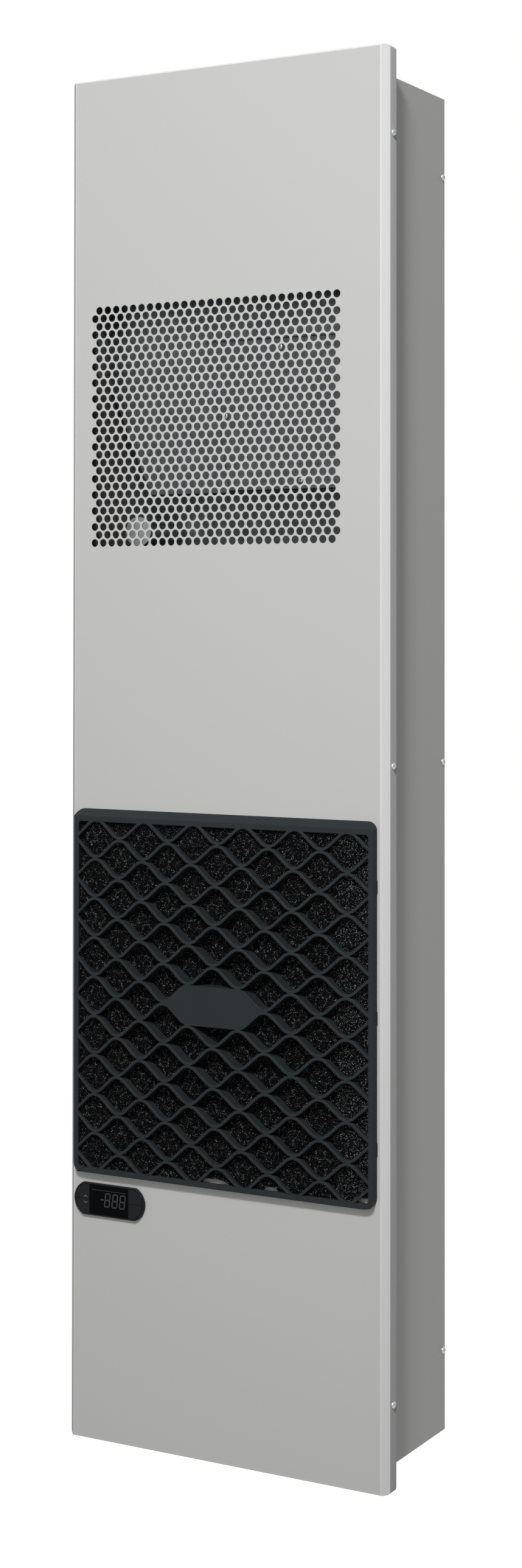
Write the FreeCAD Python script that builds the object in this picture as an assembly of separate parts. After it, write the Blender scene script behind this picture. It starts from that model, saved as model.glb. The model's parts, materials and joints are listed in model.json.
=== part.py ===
import FreeCAD, Part
import math
import os

V = FreeCAD.Vector
ALONG_X = V(1, 0, 0)
ALONG_Y = V(0, 1, 0)
ALONG_Z = V(0, 0, 1)

# Lengths are in millimetres. +Z is up, the front faces -Y, and y = 0 is the rear of the mounting flange.
# Heights named "_low" are measured up from the cover's bottom edge.

# Front cover: a folded tray with bevelled long edges
unit_height = 1550.0
face_width = 392.0
cover_bevel = 7.5
cover_depth = 22.0
sheet = 1.5
bend_radius = 2.5
corner_radius = 4.0
least_radius = 0.4

# Body box behind the flange
side_overhang = 19.5
top_overhang = 24.0
bottom_overhang = 15.0
body_depth = 165.0
flange_lip = 13.0
rear_lip = 14.0
slip = 0.4

# Screws, studs and the flange gasket
screw_radius = 2.0
screw_length = 8.0
screw_head_radius = 4.0
screw_head_height = 2.6
screw_play = 0.2
cover_screw_setback = 8.0
cover_screw_end = 94.0
rear_screw_setback = 5.3
rear_screw_end = 90.0
stud_radius = 3.0
stud_length = 15.0
stud_inset = 10.0
stud_end = 85.0
stud_middle = 230.0
gasket_gap = 0.8
stud_clearance = 2.0
gasket_thickness = 4.0

# Perforated fields: staggered round holes above, larger hexagons in the hidden field behind the filter
hole_diameter = 8.3
hole_pitch_x = 11.33
hole_pitch_z = 9.16
hole_columns = 28
hole_rows = 30
field_left = 27.6
field_low = 1019.1
filter_hole_radius = 12.5
filter_web = 6.0

# Filter grille: a moulded frame with wave ribs under a bulging front
grille_low = 295.6
grille_height = 420.4
grille_side_gap = 4.6
grille_rim_depth = 9.5
grille_slope = 8.0
grille_rim = 6.0
grille_corner = 10.0
grille_wall = 2.0
grille_bulge = 12.8
opening_corner = 4.0
wave_pitch_x = 64.2
wave_pitch_z = 44.3
rib_width = 3.2
rib_overlap = 0.3
rib_round = 13.5
filter_thickness = 5.0
filter_play = 0.4
tab_width = 14.0
tab_reach = 6.0
tab_play = 0.5
tab_spread = 140.0

# Controller under the grille
controller_length = 90.0
controller_height = 36.6
controller_straight = 68.0
controller_left = 5.0
controller_gap = 6.2
bezel_height = 7.5
bezel_wall = 1.6
window_length = 51.4
key_thickness = 2.4
key_proud = 0.4
key_gap = 0.35
key_travel = 0.8
key_stop = 0.6
case_length = 70.0
case_height = 28.0
case_depth = 60.0
case_wall = 1.5
cutout_play = 0.5
clip_length = 18.0
clip_width = 6.0
board_thickness = 1.6

# Partition between outside air and enclosure air, and the fan housing in front of it
partition_y = 80.0
partition_bend_low = 297.0
partition_bend_drop = 32.0
rear_gap = 2.0
fan_low = 1161.0
fan_side = 116.5
housing_y = 18.0
housing_above = 189.0
housing_below = 86.0
housing_cut_x = 64.5
housing_cut_z = 145.0
housing_rim = 10.0
fan_plate_half_x = 93.0
fan_plate_half_z = 84.0
fan_plate_shear = 29.5
fan_plate_seal = 1.5
fan_plate_screw_inset = 9.5
fan_opening = 70.0

# Evaporator fan behind the fan plate
shaft_radius = 4.0
shaft_play = 0.05
blade_count = 7
blade_thickness = 1.6
blade_sweep = 48.0
blade_belly = 0.62
disc_thickness = 2.0
evaporator_wheel_radius = 66.0
evaporator_wheel_depth = 50.0
evaporator_hub_radius = 30.0
evaporator_hub_length = 35.0
evaporator_motor_radius = 32.0
evaporator_motor_depth = 14.0
wheel_gap = 1.0
collar_radius = 8.0
inlet_radius = 45.0
inlet_flare = 14.0
inlet_overlap_gap = 3.0
intake_slot_pitch = 14.0
intake_slot_width = 8.0

# Condenser behind the filter, and its fan
coil_side_gap = 16.0
condenser_front_gap = 8.5
condenser_depth = 34.0
condenser_margin = 10.0
end_plate_overhang = 2.0
shroud_y = 24.0
shroud_hole_radius = 75.0
shroud_lip = 5.0
condenser_wheel_radius = 100.0
condenser_wheel_depth = 26.0
condenser_hub_radius = 36.0
condenser_hub_length = 20.8
condenser_motor_radius = 38.0
condenser_motor_depth = 18.0

# Evaporator, drip tray and drain in the rear duct
evaporator_low = 765.0
evaporator_height = 210.0
evaporator_depth = 44.0
tray_depth_below = 30.0
tray_wall = 1.5
tray_rear_gap = 12.0
tray_side = 17.5
drain_radius = 6.0
drain_wall = 1.5
drain_side = 42.5
drain_rear_gap = 28.5
drain_stub = 5.0
outlet_low = 345.0
outlet_slots = 10
outlet_slot_pitch = 26.0
outlet_slot_height = 12.0
outlet_slot_length = 280.0

# Compressor corner
compressor_radius = 56.0
compressor_height = 205.0
compressor_shoulder = 22.0
compressor_side = 97.5
compressor_rear_gap = 20.0
foot_thickness = 3.0
foot_reach = 72.0
foot_round = 16.0
grommet_radius = 11.0
grommet_height = 12.0
base_thickness = 2.0
base_margin = 8.0
bolt_radius = 3.0
bolt_head_radius = 6.0
bolt_head_height = 4.0
accumulator_radius = 23.0
accumulator_height = 140.0
accumulator_raise = 35.0
accumulator_gap = 6.0
accumulator_shoulder = 10.0
strap_height = 20.0
strap_width = 14.0
terminal_width = 44.0
terminal_height = 60.0
terminal_depth = 18.0

# Refrigerant pipes
pipe_radius = 4.0
capillary_radius = 2.0
pipe_bend = 14.0
pipe_side = 9.5
pipe_hole_play = 1.0
pipe_clear = 18.0
drier_radius = 10.0
drier_length = 90.0

# Electrical box behind the lower front
box_width = 128.0
box_height = 200.0
box_depth = 80.0
box_front_gap = 6.0
box_wall = 1.5
terminal_block_length = 90.0
terminal_block_height = 22.0
terminal_block_depth = 30.0
terminal_ways = 6
terminal_wall = 3.0
capacitor_radius = 17.0
capacitor_length = 70.0
fan_capacitor_drop = 128.0
fan_capacitor_side = 47.0
socket_length = 60.0
socket_height = 26.0
socket_depth = 12.0
socket_play = 0.3
socket_side = 62.0
socket_low = 160.0

# Levels and planes that several pieces share
cover_half = face_width / 2 + cover_bevel
top_edge = unit_height / 2
bottom_edge = -unit_height / 2
face_y = -cover_depth
cover_inner_y = face_y + sheet
body_half = cover_half - side_overhang
body_inner = body_half - sheet
body_top = top_edge - top_overhang
body_bottom = bottom_edge + bottom_overhang
ceiling_z = body_top - sheet
floor_z = body_bottom + sheet
rear_inner_y = body_depth - sheet
flange_half = cover_half - sheet - slip
flange_top = top_edge - sheet - slip
flange_bottom = bottom_edge + sheet + slip
partition_rear_y = partition_y + sheet
partition_low_y = rear_inner_y - rear_lip - rear_gap - sheet
partition_bend_z = bottom_edge + partition_bend_low
partition_foot_z = partition_bend_z - partition_bend_drop
duct_middle_y = (partition_rear_y + rear_inner_y) / 2

grille_half = face_width / 2 - grille_side_gap
grille_bottom = bottom_edge + grille_low
grille_top = grille_bottom + grille_height
grille_z = (grille_bottom + grille_top) / 2
rim_y = face_y - grille_rim_depth
rib_rear_y = face_y - filter_thickness
opening_half_x = grille_half - grille_rim
opening_half_z = grille_height / 2 - grille_slope - grille_rim
cavity_half_x = grille_half - grille_wall
cavity_half_z = grille_height / 2 - grille_slope * filter_thickness / grille_rim_depth - grille_wall

controller_x = -face_width / 2 + controller_left + controller_length / 2
controller_top = grille_bottom - controller_gap
controller_z = controller_top - controller_height / 2
bezel_front_y = face_y - bezel_height
pocket_depth = key_thickness - key_proud + key_travel + key_stop
pocket_y = bezel_front_y + pocket_depth

fan_x = body_inner - fan_side
fan_z = bottom_edge + fan_low
housing_top = fan_z + housing_above
housing_bottom = fan_z - housing_below
seal_front_y = housing_y - fan_plate_seal
fan_plate_y = seal_front_y - sheet

coil_half = body_inner - coil_side_gap
condenser_y = cover_inner_y + condenser_front_gap
condenser_bottom = grille_z - opening_half_z
condenser_top = grille_z + opening_half_z
evaporator_bottom = bottom_edge + evaporator_low
evaporator_top = evaporator_bottom + evaporator_height
tray_top = evaporator_bottom
tray_bottom = tray_top - tray_depth_below
tray_half = body_inner - tray_side
drain_x = -body_inner + drain_side
drain_y = rear_inner_y - drain_rear_gap

compressor_x = body_inner - compressor_side
compressor_y = partition_low_y - compressor_radius - compressor_rear_gap
base_top = floor_z + base_thickness
foot_bottom = base_top + grommet_height
can_bottom = foot_bottom + foot_thickness
can_top = can_bottom + compressor_height
accumulator_x = compressor_x - compressor_radius - accumulator_gap - accumulator_radius
accumulator_bottom = can_bottom + accumulator_raise
accumulator_top = accumulator_bottom + accumulator_height

pipe_x = body_inner - pipe_side
pipe_duct_y = duct_middle_y
suction_z = can_top + pipe_clear
discharge_z = can_top + pipe_clear
discharge_y = condenser_y + pipe_radius
liquid_y = discharge_y + pipe_clear
liquid_z = condenser_bottom - pipe_clear
drier_x = compressor_x - compressor_radius


def box(x0, x1, y0, y1, z0, z1):
    return Part.makeBox(x1 - x0, y1 - y0, z1 - z0, V(x0, y0, z0))


def rod(start, axis, radius, length):
    return Part.makeCylinder(radius, length, start, axis)


def ring(start, axis, outer, inner, length):
    return rod(start, axis, outer, length).cut(rod(start, axis, inner, length))


def cut_all(shape, tools):
    return shape.cut(Part.makeCompound(tools))


def polygon(corners):
    return Part.Face(Part.makePolygon(corners + corners[:1]))


def prism_y(outline, y0, y1):
    """Prism along Y over an outline of (x, z) corners."""
    return polygon([V(x, y0, z) for x, z in outline]).extrude(V(0, y1 - y0, 0))


def prism_x(outline, x0, x1):
    """Prism along X over an outline of (y, z) corners."""
    return polygon([V(x0, y, z) for y, z in outline]).extrude(V(x1 - x0, 0, 0))


def rounded_wire(corners, radii):
    """Closed wire through the corners, each rounded by its own radius."""
    count = len(corners)
    arcs = []
    for index, corner in enumerate(corners):
        before = (corners[index - 1] - corner).normalize()
        after = (corners[(index + 1) % count] - corner).normalize()
        half = before.getAngle(after) / 2
        reach = radii[index] / math.tan(half)
        inward = (before + after).normalize()
        middle = corner + inward * (radii[index] / math.sin(half) - radii[index])
        arcs.append((corner + before * reach, middle, corner + after * reach))
    edges = []
    for index, (start, middle, end) in enumerate(arcs):
        edges.append(Part.Arc(start, middle, end).toShape())
        edges.append(Part.LineSegment(end, arcs[(index + 1) % count][0]).toShape())
    return Part.Wire(edges)


def rounded_block(x0, x1, y0, y1, z0, z1, radius):
    """Block whose four edges along Y are rounded."""
    corners = [V(x0, y0, z0), V(x1, y0, z0), V(x1, y0, z1), V(x0, y0, z1)]
    return Part.Face(rounded_wire(corners, [radius] * 4)).extrude(V(0, y1 - y0, 0))


def hexagon(x, z, radius, y0, y1):
    """Six-sided prism along Y with a corner straight up."""
    angles = [math.radians(30 + 60 * step) for step in range(6)]
    return prism_y([(x + radius * math.cos(a), z + radius * math.sin(a)) for a in angles], y0, y1)


def screw_x(x, y, z, outward):
    """Pan-head screw along X, head on the outside."""
    axis = V(outward, 0, 0)
    head = rod(V(x, y, z), axis, screw_head_radius, screw_head_height)
    return head.fuse(rod(V(x, y, z), axis * -1, screw_radius, screw_length)).removeSplitter()


def screw_y(x, y, z):
    """Pan-head screw along Y, head towards the front."""
    head = rod(V(x, y - screw_head_height, z), ALONG_Y, screw_head_radius, screw_head_height)
    return head.fuse(rod(V(x, y, z), ALONG_Y, screw_radius, screw_length)).removeSplitter()


def screw_hole(x, y, z, axis, play):
    """Hole for a screw: with play in the sheet under the head, with none where the screw bites."""
    return rod(V(x, y, z) - axis * screw_length, axis, screw_radius + play, 2 * screw_length)


def pipe(points, radius):
    """Round bar along straight runs joined by tangent bends."""
    edges = []
    start = points[0]
    for index in range(1, len(points) - 1):
        corner = points[index]
        before = (points[index - 1] - corner).normalize()
        after = (points[index + 1] - corner).normalize()
        half = before.getAngle(after) / 2
        reach = pipe_bend / math.tan(half)
        inward = (before + after).normalize()
        middle = corner + inward * (pipe_bend / math.sin(half) - pipe_bend)
        edges.append(Part.LineSegment(start, corner + before * reach).toShape())
        edges.append(Part.Arc(corner + before * reach, middle, corner + after * reach).toShape())
        start = corner + after * reach
    edges.append(Part.LineSegment(start, points[-1]).toShape())
    section = Part.Wire(Part.makeCircle(radius, points[0], points[1] - points[0]))
    return Part.Wire(edges).makePipeShell([section], True, False)


# Front cover

def cover_tray(inset):
    """Outer form of the tray, moved inward by inset on every closed side."""
    half = cover_half - inset
    front = face_y + inset
    leg = cover_bevel + inset * (math.sqrt(2) - 2)
    bend = max(bend_radius - inset, least_radius)
    top = top_edge - inset
    bottom = bottom_edge + inset
    corners = [(half, 0.0), (half, front + leg), (half - leg, front)]
    corners += [(-x, y) for x, y in reversed(corners)]
    points = [V(x, y, bottom) for x, y in corners]
    face = Part.Face(Part.makePolygon(points + points[:1]))
    bent = face.extrude(V(0, 0, top - bottom))
    long_edges = [e for e in bent.Edges if e.BoundBox.ZLength > unit_height / 2]
    folds = [e for e in long_edges if e.Vertexes[0].Point.y < -bend]
    bent = bent.makeFillet(bend, folds)
    outline = rounded_block(-half, half, front, 0.0, bottom, top, max(corner_radius - inset, least_radius))
    return bent.common(outline)


def outlet_holes():
    """Rows of round holes, every second row moved sideways by half a pitch."""
    left = -face_width / 2 + field_left
    low = bottom_edge + field_low
    holes = []
    for row in range(hole_rows):
        for column in range(hole_columns):
            center = V(left + (column + row % 2 / 2) * hole_pitch_x, face_y, low + row * hole_pitch_z)
            holes.append(rod(center, ALONG_Y, hole_diameter / 2, sheet))
    return holes


def filter_holes():
    """Hexagons behind the filter mat, as many as fit in the grille's opening."""
    step_x = filter_hole_radius * math.sqrt(3) + filter_web
    step_z = step_x * math.sqrt(3) / 2
    columns = int((2 * opening_half_x - step_x / 2) // step_x)
    rows = int((2 * opening_half_z) // step_z)
    holes = []
    for row in range(rows):
        for column in range(columns):
            x = (column - (columns - 1) / 2 + (row % 2 - 0.5) / 2) * step_x
            z = grille_z + (row - (rows - 1) / 2) * step_z
            holes.append(hexagon(x, z, filter_hole_radius, face_y, cover_inner_y))
    return holes


def tab_places():
    return [(side, grille_z + step * tab_spread) for side in (-1, 1) for step in (-1, 0, 1)]


def tab_block(side, z, y1, grow):
    """Tab of the grille, or its slot in the cover when grown."""
    middle = side * (grille_half - grille_wall / 2)
    half = grille_wall / 2 + grow
    return box(middle - half, middle + half, face_y, y1, z - tab_width / 2 - grow, z + tab_width / 2 + grow)


def side_screw_places():
    return [(side, end * (top_edge - cover_screw_end)) for side in (-1, 1) for end in (-1, 0, 1)]


def front_cover():
    tray = cover_tray(0.0).cut(cover_tray(sheet))
    tools = outlet_holes() + filter_holes()
    tools += [tab_block(side, z, cover_inner_y, tab_play) for side, z in tab_places()]
    half_length = case_length / 2 + cutout_play
    half_height = case_height / 2 + cutout_play
    tools.append(box(controller_x - half_length, controller_x + half_length, face_y, cover_inner_y,
                     controller_z - half_height, controller_z + half_height))
    for side, z in side_screw_places():
        tools.append(screw_hole(side * cover_half, -cover_screw_setback, z, ALONG_X, screw_play))
    return cut_all(tray, tools)


def cover_screws():
    places = side_screw_places()
    return Part.makeCompound([screw_x(side * cover_half, -cover_screw_setback, z, side) for side, z in places])


# Body box

def rear_screw_places():
    middle = (body_top + body_bottom) / 2
    reach = (body_top - body_bottom) / 2 - rear_screw_end
    return [(side, middle + end * reach) for side in (-1, 1) for end in (-1, 0, 1)]


def chassis():
    """Box wall with an outward flange and a lip that the front cover slips over."""
    wall = box(-body_half, body_half, -sheet, body_depth, body_bottom, body_top)
    corner = corner_radius - sheet
    flange = rounded_block(-flange_half, flange_half, -sheet, 0.0, flange_bottom, flange_top, corner)
    lip = rounded_block(-flange_half, flange_half, -flange_lip, -sheet, flange_bottom, flange_top, corner)
    lip = lip.cut(box(-flange_half + sheet, flange_half - sheet, -flange_lip, -sheet,
                      flange_bottom + sheet, flange_top - sheet))
    frame = wall.fuse([flange, lip]).removeSplitter()
    tools = [box(-body_inner, body_inner, -sheet, body_depth, floor_z, ceiling_z)]
    for side, z in side_screw_places():
        tools.append(screw_hole(side * flange_half, -cover_screw_setback, z, ALONG_X, 0.0))
    for side, z in rear_screw_places():
        tools.append(screw_hole(side * body_half, body_depth - rear_screw_setback, z, ALONG_X, screw_play))
    tools.append(rod(V(drain_x, drain_y, body_bottom), ALONG_Z, drain_radius + pipe_hole_play, sheet))
    return cut_all(frame, tools)


def stud_places():
    outer = top_edge - stud_end
    heights = (-outer, -stud_middle, stud_middle, outer)
    return [(side * (flange_half - stud_inset), z) for side in (-1, 1) for z in heights]


def mounting_studs():
    return Part.makeCompound([rod(V(x, 0, z), ALONG_Y, stud_radius, stud_length) for x, z in stud_places()])


def mounting_gasket():
    """Flat seal along the flange's border, outside the studs."""
    half = flange_half - gasket_gap
    low = flange_bottom + gasket_gap
    high = flange_top - gasket_gap
    width = stud_inset - stud_radius - stud_clearance - gasket_gap
    band = box(-half, half, 0, gasket_thickness, low, high)
    return band.cut(box(-half + width, half - width, 0, gasket_thickness, low + width, high - width))


def intake_slots():
    """Slots in a round field behind the fan's inlet."""
    reach = inlet_radius - intake_slot_width / 2
    count = int(reach // intake_slot_pitch)
    slots = []
    for step in range(-count, count + 1):
        z = fan_z + step * intake_slot_pitch
        half = math.sqrt(inlet_radius ** 2 - (abs(step) * intake_slot_pitch + intake_slot_width / 2) ** 2)
        slots.append(box(fan_x - half, fan_x + half, rear_inner_y, body_depth,
                         z - intake_slot_width / 2, z + intake_slot_width / 2))
    return slots


def rear_cover():
    """Shallow pan inside the body's rear edge, with intake slots above and cold air slots below."""
    half = body_inner - slip
    low = floor_z + slip
    high = ceiling_z - slip
    pan = box(-half, half, rear_inner_y - rear_lip, body_depth, low, high)
    tools = [box(-half + sheet, half - sheet, rear_inner_y - rear_lip, rear_inner_y, low + sheet, high - sheet)]
    tools += intake_slots()
    for step in range(outlet_slots):
        z = bottom_edge + outlet_low + step * outlet_slot_pitch
        tools.append(box(-outlet_slot_length / 2, outlet_slot_length / 2, rear_inner_y, body_depth,
                         z, z + outlet_slot_height))
    for side, z in rear_screw_places():
        tools.append(screw_hole(side * body_half, body_depth - rear_screw_setback, z, ALONG_X, 0.0))
    tools.append(socket_block(socket_play, rear_inner_y, body_depth))
    return cut_all(pan, tools)


def rear_cover_screws():
    y = body_depth - rear_screw_setback
    return Part.makeCompound([screw_x(side * body_half, y, z, side) for side, z in rear_screw_places()])


def socket_block(grow, y0, y1):
    x = -body_inner + socket_side
    z = bottom_edge + socket_low
    return box(x - socket_length / 2 - grow, x + socket_length / 2 + grow, y0, y1,
               z - socket_height / 2 - grow, z + socket_height / 2 + grow)


def supply_socket():
    """Recessed supply inlet: a flanged cup behind its cut-out in the rear cover."""
    lip = socket_block(2 * sheet, rear_inner_y - sheet, rear_inner_y)
    cup = lip.fuse(socket_block(0.0, body_depth - socket_depth, body_depth)).removeSplitter()
    return cup.cut(socket_block(-2 * sheet, body_depth - socket_depth + sheet, body_depth))


# Filter grille

def cell_face(x, z):
    """Eye-shaped opening between four ribs: crests and pointed ends are arcs, joined by straight flanks."""
    half_x = wave_pitch_x / 2
    half_z = wave_pitch_z / 2
    swing = half_z - rib_width + rib_overlap
    spare = 2 * rib_round - swing
    lean = math.asin(2 * rib_round / math.hypot(half_x, spare)) - math.atan2(spare, half_x)
    inner = rib_round - rib_width / 2
    outer = rib_round + rib_width / 2
    crest = (half_z + swing) / 2 - rib_round
    trough = (half_z - swing) / 2 + rib_round
    end_lean = math.acos(trough / outer)
    middle_lean = (lean + end_lean) / 2

    def at(side, level, u, w):
        return V(x + side * u, face_y, z + level * w)

    edges = []
    for level in (1, -1):
        shoulder = (inner * math.sin(lean), crest + inner * math.cos(lean))
        left = at(-1, level, *shoulder)
        edges.append(Part.Arc(left, at(1, level, 0, crest + inner), at(1, level, *shoulder)).toShape())
        for side in (1, -1):
            start = at(side, level, half_x - outer * math.sin(lean), trough - outer * math.cos(lean))
            middle = at(side, level, half_x - outer * math.sin(middle_lean),
                        trough - outer * math.cos(middle_lean))
            tip = at(side, level, half_x - outer * math.sin(end_lean), 0)
            edges.append(Part.LineSegment(at(side, level, *shoulder), start).toShape())
            edges.append(Part.Arc(start, middle, tip).toShape())
    return Part.Face(Part.Wire(Part.__sortEdges__(edges)))


def grille_cells():
    """Openings between the ribs, clipped by the frame and by the plain plate in the middle."""
    half_x = wave_pitch_x / 2
    half_z = wave_pitch_z / 2
    columns = math.ceil(opening_half_x / half_x)
    rows = math.ceil(opening_half_z / half_z)
    corners = [V(sx * opening_half_x, face_y, grille_z + sz * opening_half_z)
               for sx, sz in ((-1, -1), (1, -1), (1, 1), (-1, 1))]
    opening = Part.Face(rounded_wire(corners, [opening_corner] * 4))
    plate = polygon([V(sx * half_x, face_y, grille_z + sz * half_z)
                     for sx, sz in ((-1, -1), (1, -1), (1, 1), (-1, 1))])
    through = V(0, face_y - rim_y + grille_bulge, 0) * -2
    cells = []
    for row in range(-rows, rows + 1):
        for column in range(-columns, columns + 1):
            beside_plate = row == 0 and abs(column) == 1
            if (row + column) % 2 == 0 or beside_plate:
                continue
            face = cell_face(column * half_x, grille_z + row * half_z).common(opening)
            if column == 0 and abs(row) == 1:
                face = face.cut(plate)
            cells += [piece.extrude(through) for piece in face.Faces if piece.Area > rib_width * rib_width]
    return cells


def bulging_block():
    """Block over the opening whose front bulges by a square law both ways."""
    edge_x = opening_half_x / (opening_half_x + rib_width)
    edge_z = opening_half_z / (opening_half_z + rib_width)
    across = [1 - edge_x ** 2, 1 + edge_x ** 2, 1 - edge_x ** 2]
    upright = [1 - edge_z ** 2, 1 + edge_z ** 2, 1 - edge_z ** 2]
    surface = Part.BezierSurface()
    surface.increase(2, 2)
    for column in range(3):
        for row in range(3):
            y = rim_y - grille_bulge * across[column] * upright[row]
            pole = V((column - 1) * opening_half_x, y, grille_z + (row - 1) * opening_half_z)
            surface.setPole(column + 1, row + 1, pole)
    return surface.toShape().extrude(V(0, grille_bulge + grille_rim_depth, 0))


def filter_grille():
    side = [(face_y, grille_bottom), (face_y, grille_top), (rim_y, grille_top - grille_slope),
            (rim_y, grille_bottom + grille_slope)]
    frame = prism_x(side, -grille_half, grille_half)
    frame = frame.common(rounded_block(-grille_half, grille_half, rim_y, face_y, grille_bottom, grille_top,
                                       grille_corner))
    body = frame.fuse(bulging_block())
    rear = box(-cavity_half_x, cavity_half_x, rib_rear_y, 0.0,
               grille_z - cavity_half_z, grille_z + cavity_half_z)
    return cut_all(body.cut(rear), grille_cells()).removeSplitter()


def grille_clips():
    """Springy tabs that hold the grille in the cover's slots."""
    return Part.makeCompound([tab_block(side, z, cover_inner_y + tab_reach, 0.0) for side, z in tab_places()])


def filter_mat():
    half_x = cavity_half_x - filter_play
    half_z = cavity_half_z - filter_play
    return box(-half_x, half_x, rib_rear_y, face_y - filter_play, grille_z - half_z, grille_z + half_z)


# Controller

def controller_prism(inset, y0, y1):
    """Prism with straight long sides and round ends, moved inward by inset."""
    length = controller_length / 2
    height = controller_height / 2
    bow = length - controller_straight / 2
    radius = (bow * bow + height * height) / (2 * bow)
    center = length - radius
    tip = length - inset
    edge = height - inset
    straight = center + math.sqrt((radius - inset) ** 2 - edge ** 2)

    def at(x, z):
        return V(controller_x + x, y0, controller_z + z)

    right = Part.Arc(at(straight, edge), at(tip, 0), at(straight, -edge)).toShape()
    left = Part.Arc(at(-straight, -edge), at(-tip, 0), at(-straight, edge)).toShape()
    bottom = Part.LineSegment(at(straight, -edge), at(-straight, -edge)).toShape()
    top = Part.LineSegment(at(-straight, edge), at(straight, edge)).toShape()
    return Part.Face(Part.Wire([right, bottom, left, top])).extrude(V(0, y1 - y0, 0))


def controller_box(x0, x1, z0, z1, y0, y1):
    return box(controller_x + x0, controller_x + x1, y0, y1, controller_z + z0, controller_z + z1)


def controller_bezel():
    """Shallow dish that carries the window and the keys."""
    dish = controller_prism(0.0, bezel_front_y, face_y)
    return dish.cut(controller_prism(bezel_wall, bezel_front_y, pocket_y))


def controller_window():
    slab = controller_box(-window_length / 2, window_length / 2, -controller_height, controller_height,
                          bezel_front_y, pocket_y)
    return controller_prism(bezel_wall, bezel_front_y, pocket_y).common(slab)


def key(side, half):
    """Quarter-round key: side is -1 left or 1 right, half is -1 lower or 1 upper."""
    front = bezel_front_y - key_proud
    plate = controller_prism(bezel_wall + key_gap, front, front + key_thickness)
    near = window_length / 2 + key_gap
    spans_x = sorted((side * near, side * controller_length))
    spans_z = sorted((half * key_gap / 2, half * controller_height))
    return plate.common(controller_box(*spans_x, *spans_z, front, front + key_thickness))


def controller_case():
    """Open-ended case behind the bezel, through the cover's cut-out."""
    length = case_length / 2
    height = case_height / 2
    case = controller_box(-length, length, -height, height, face_y, face_y + case_depth)
    return case.cut(controller_box(-length + case_wall, length - case_wall, -height + case_wall,
                                   height - case_wall, face_y, face_y + case_depth - case_wall))


def controller_board():
    length = case_length / 2 - case_wall
    low = -board_thickness / 2
    return controller_box(-length, length, low, low + board_thickness, face_y, face_y + case_depth - case_wall)


def controller_clips():
    """Side clips that hold the case against the inside of the cover."""
    clips = []
    for side in (-1, 1):
        spans = sorted((side * case_length / 2, side * (case_length / 2 + clip_width)))
        clips.append(controller_box(*spans, -case_height / 4, case_height / 4, cover_inner_y,
                                    cover_inner_y + clip_length))
    return Part.makeCompound(clips)


# Partition and fan housing

def housing_outline(inset):
    """Corners of the fan housing, seen from the front, with its lower left corner cut off."""
    left = -body_inner + inset
    right = body_inner - inset
    low = housing_bottom + inset
    shift = inset * (math.hypot(housing_cut_x, housing_cut_z) - housing_cut_x - housing_cut_z)
    cut_x = housing_cut_x + shift / housing_cut_z
    cut_z = housing_cut_z + shift / housing_cut_x
    return [(left, housing_top - inset), (right, housing_top - inset), (right, low), (left + cut_x, low),
            (left, low + cut_z)]


def duct_pipe_hole(x, radius):
    low = V(x, pipe_duct_y, partition_foot_z - pipe_bend)
    return rod(low, ALONG_Z, radius + pipe_hole_play, partition_bend_drop + 2 * pipe_bend)


def partition_wall():
    """Folded sheet: upright behind the condenser, stepped back above the compressor."""
    front = [(partition_y, ceiling_z), (partition_y, partition_bend_z), (partition_low_y, partition_foot_z),
             (partition_low_y, floor_z)]
    rear = [(y + sheet, z) for y, z in reversed(front)]
    wall = prism_x(front + rear, -body_inner, body_inner)
    tools = [prism_y(housing_outline(housing_rim), partition_y, partition_rear_y)]
    tools.append(duct_pipe_hole(pipe_x, pipe_radius))
    tools.append(duct_pipe_hole(-pipe_x, capillary_radius))
    drain_low = V(drain_x, drain_y, partition_foot_z - pipe_bend)
    tools.append(rod(drain_low, ALONG_Z, drain_radius + pipe_hole_play, partition_bend_drop + 2 * pipe_bend))
    return cut_all(wall, tools)


def fan_screw_places():
    reach_x = fan_plate_half_x - fan_plate_screw_inset
    reach_z = fan_plate_half_z - fan_plate_screw_inset
    lean = fan_plate_shear / 2 * reach_z / fan_plate_half_z
    return [(fan_x - reach_x, fan_z), (fan_x + reach_x, fan_z), (fan_x - lean, fan_z + reach_z),
            (fan_x + lean, fan_z - reach_z)]


def fan_screw_holes(play):
    return [screw_hole(x, housing_y, z, ALONG_Y, play) for x, z in fan_screw_places()]


def fan_plate_outline(grow):
    """Leaning four-sided plate, grown by the given margin."""
    half_x = fan_plate_half_x + grow
    half_z = fan_plate_half_z + grow
    lean = fan_plate_shear / 2
    return [(fan_x - half_x - lean, fan_z + half_z), (fan_x + half_x - lean, fan_z + half_z),
            (fan_x + half_x + lean, fan_z - half_z), (fan_x - half_x + lean, fan_z - half_z)]


def fan_housing():
    """Pan in front of the partition that the evaporator fan blows into."""
    pan = prism_y(housing_outline(0.0), housing_y, partition_y)
    tools = [prism_y(housing_outline(sheet), housing_y + sheet, partition_y)]
    tools.append(rod(V(fan_x, housing_y, fan_z), ALONG_Y, fan_opening, sheet))
    return cut_all(pan, tools + fan_screw_holes(0.0))


def fan_plate_gasket():
    """Seal under the fan plate, with a narrow edge left showing round it."""
    seal = prism_y(fan_plate_outline(fan_plate_seal), seal_front_y, housing_y)
    middle = rod(V(fan_x, seal_front_y, fan_z), ALONG_Y, fan_opening, fan_plate_seal)
    return cut_all(seal, [middle] + fan_screw_holes(screw_play))


def fan_plate():
    return cut_all(prism_y(fan_plate_outline(0.0), fan_plate_y, seal_front_y), fan_screw_holes(screw_play))


def fan_plate_screws():
    return Part.makeCompound([screw_y(x, fan_plate_y, z) for x, z in fan_screw_places()])


# Fans

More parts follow.
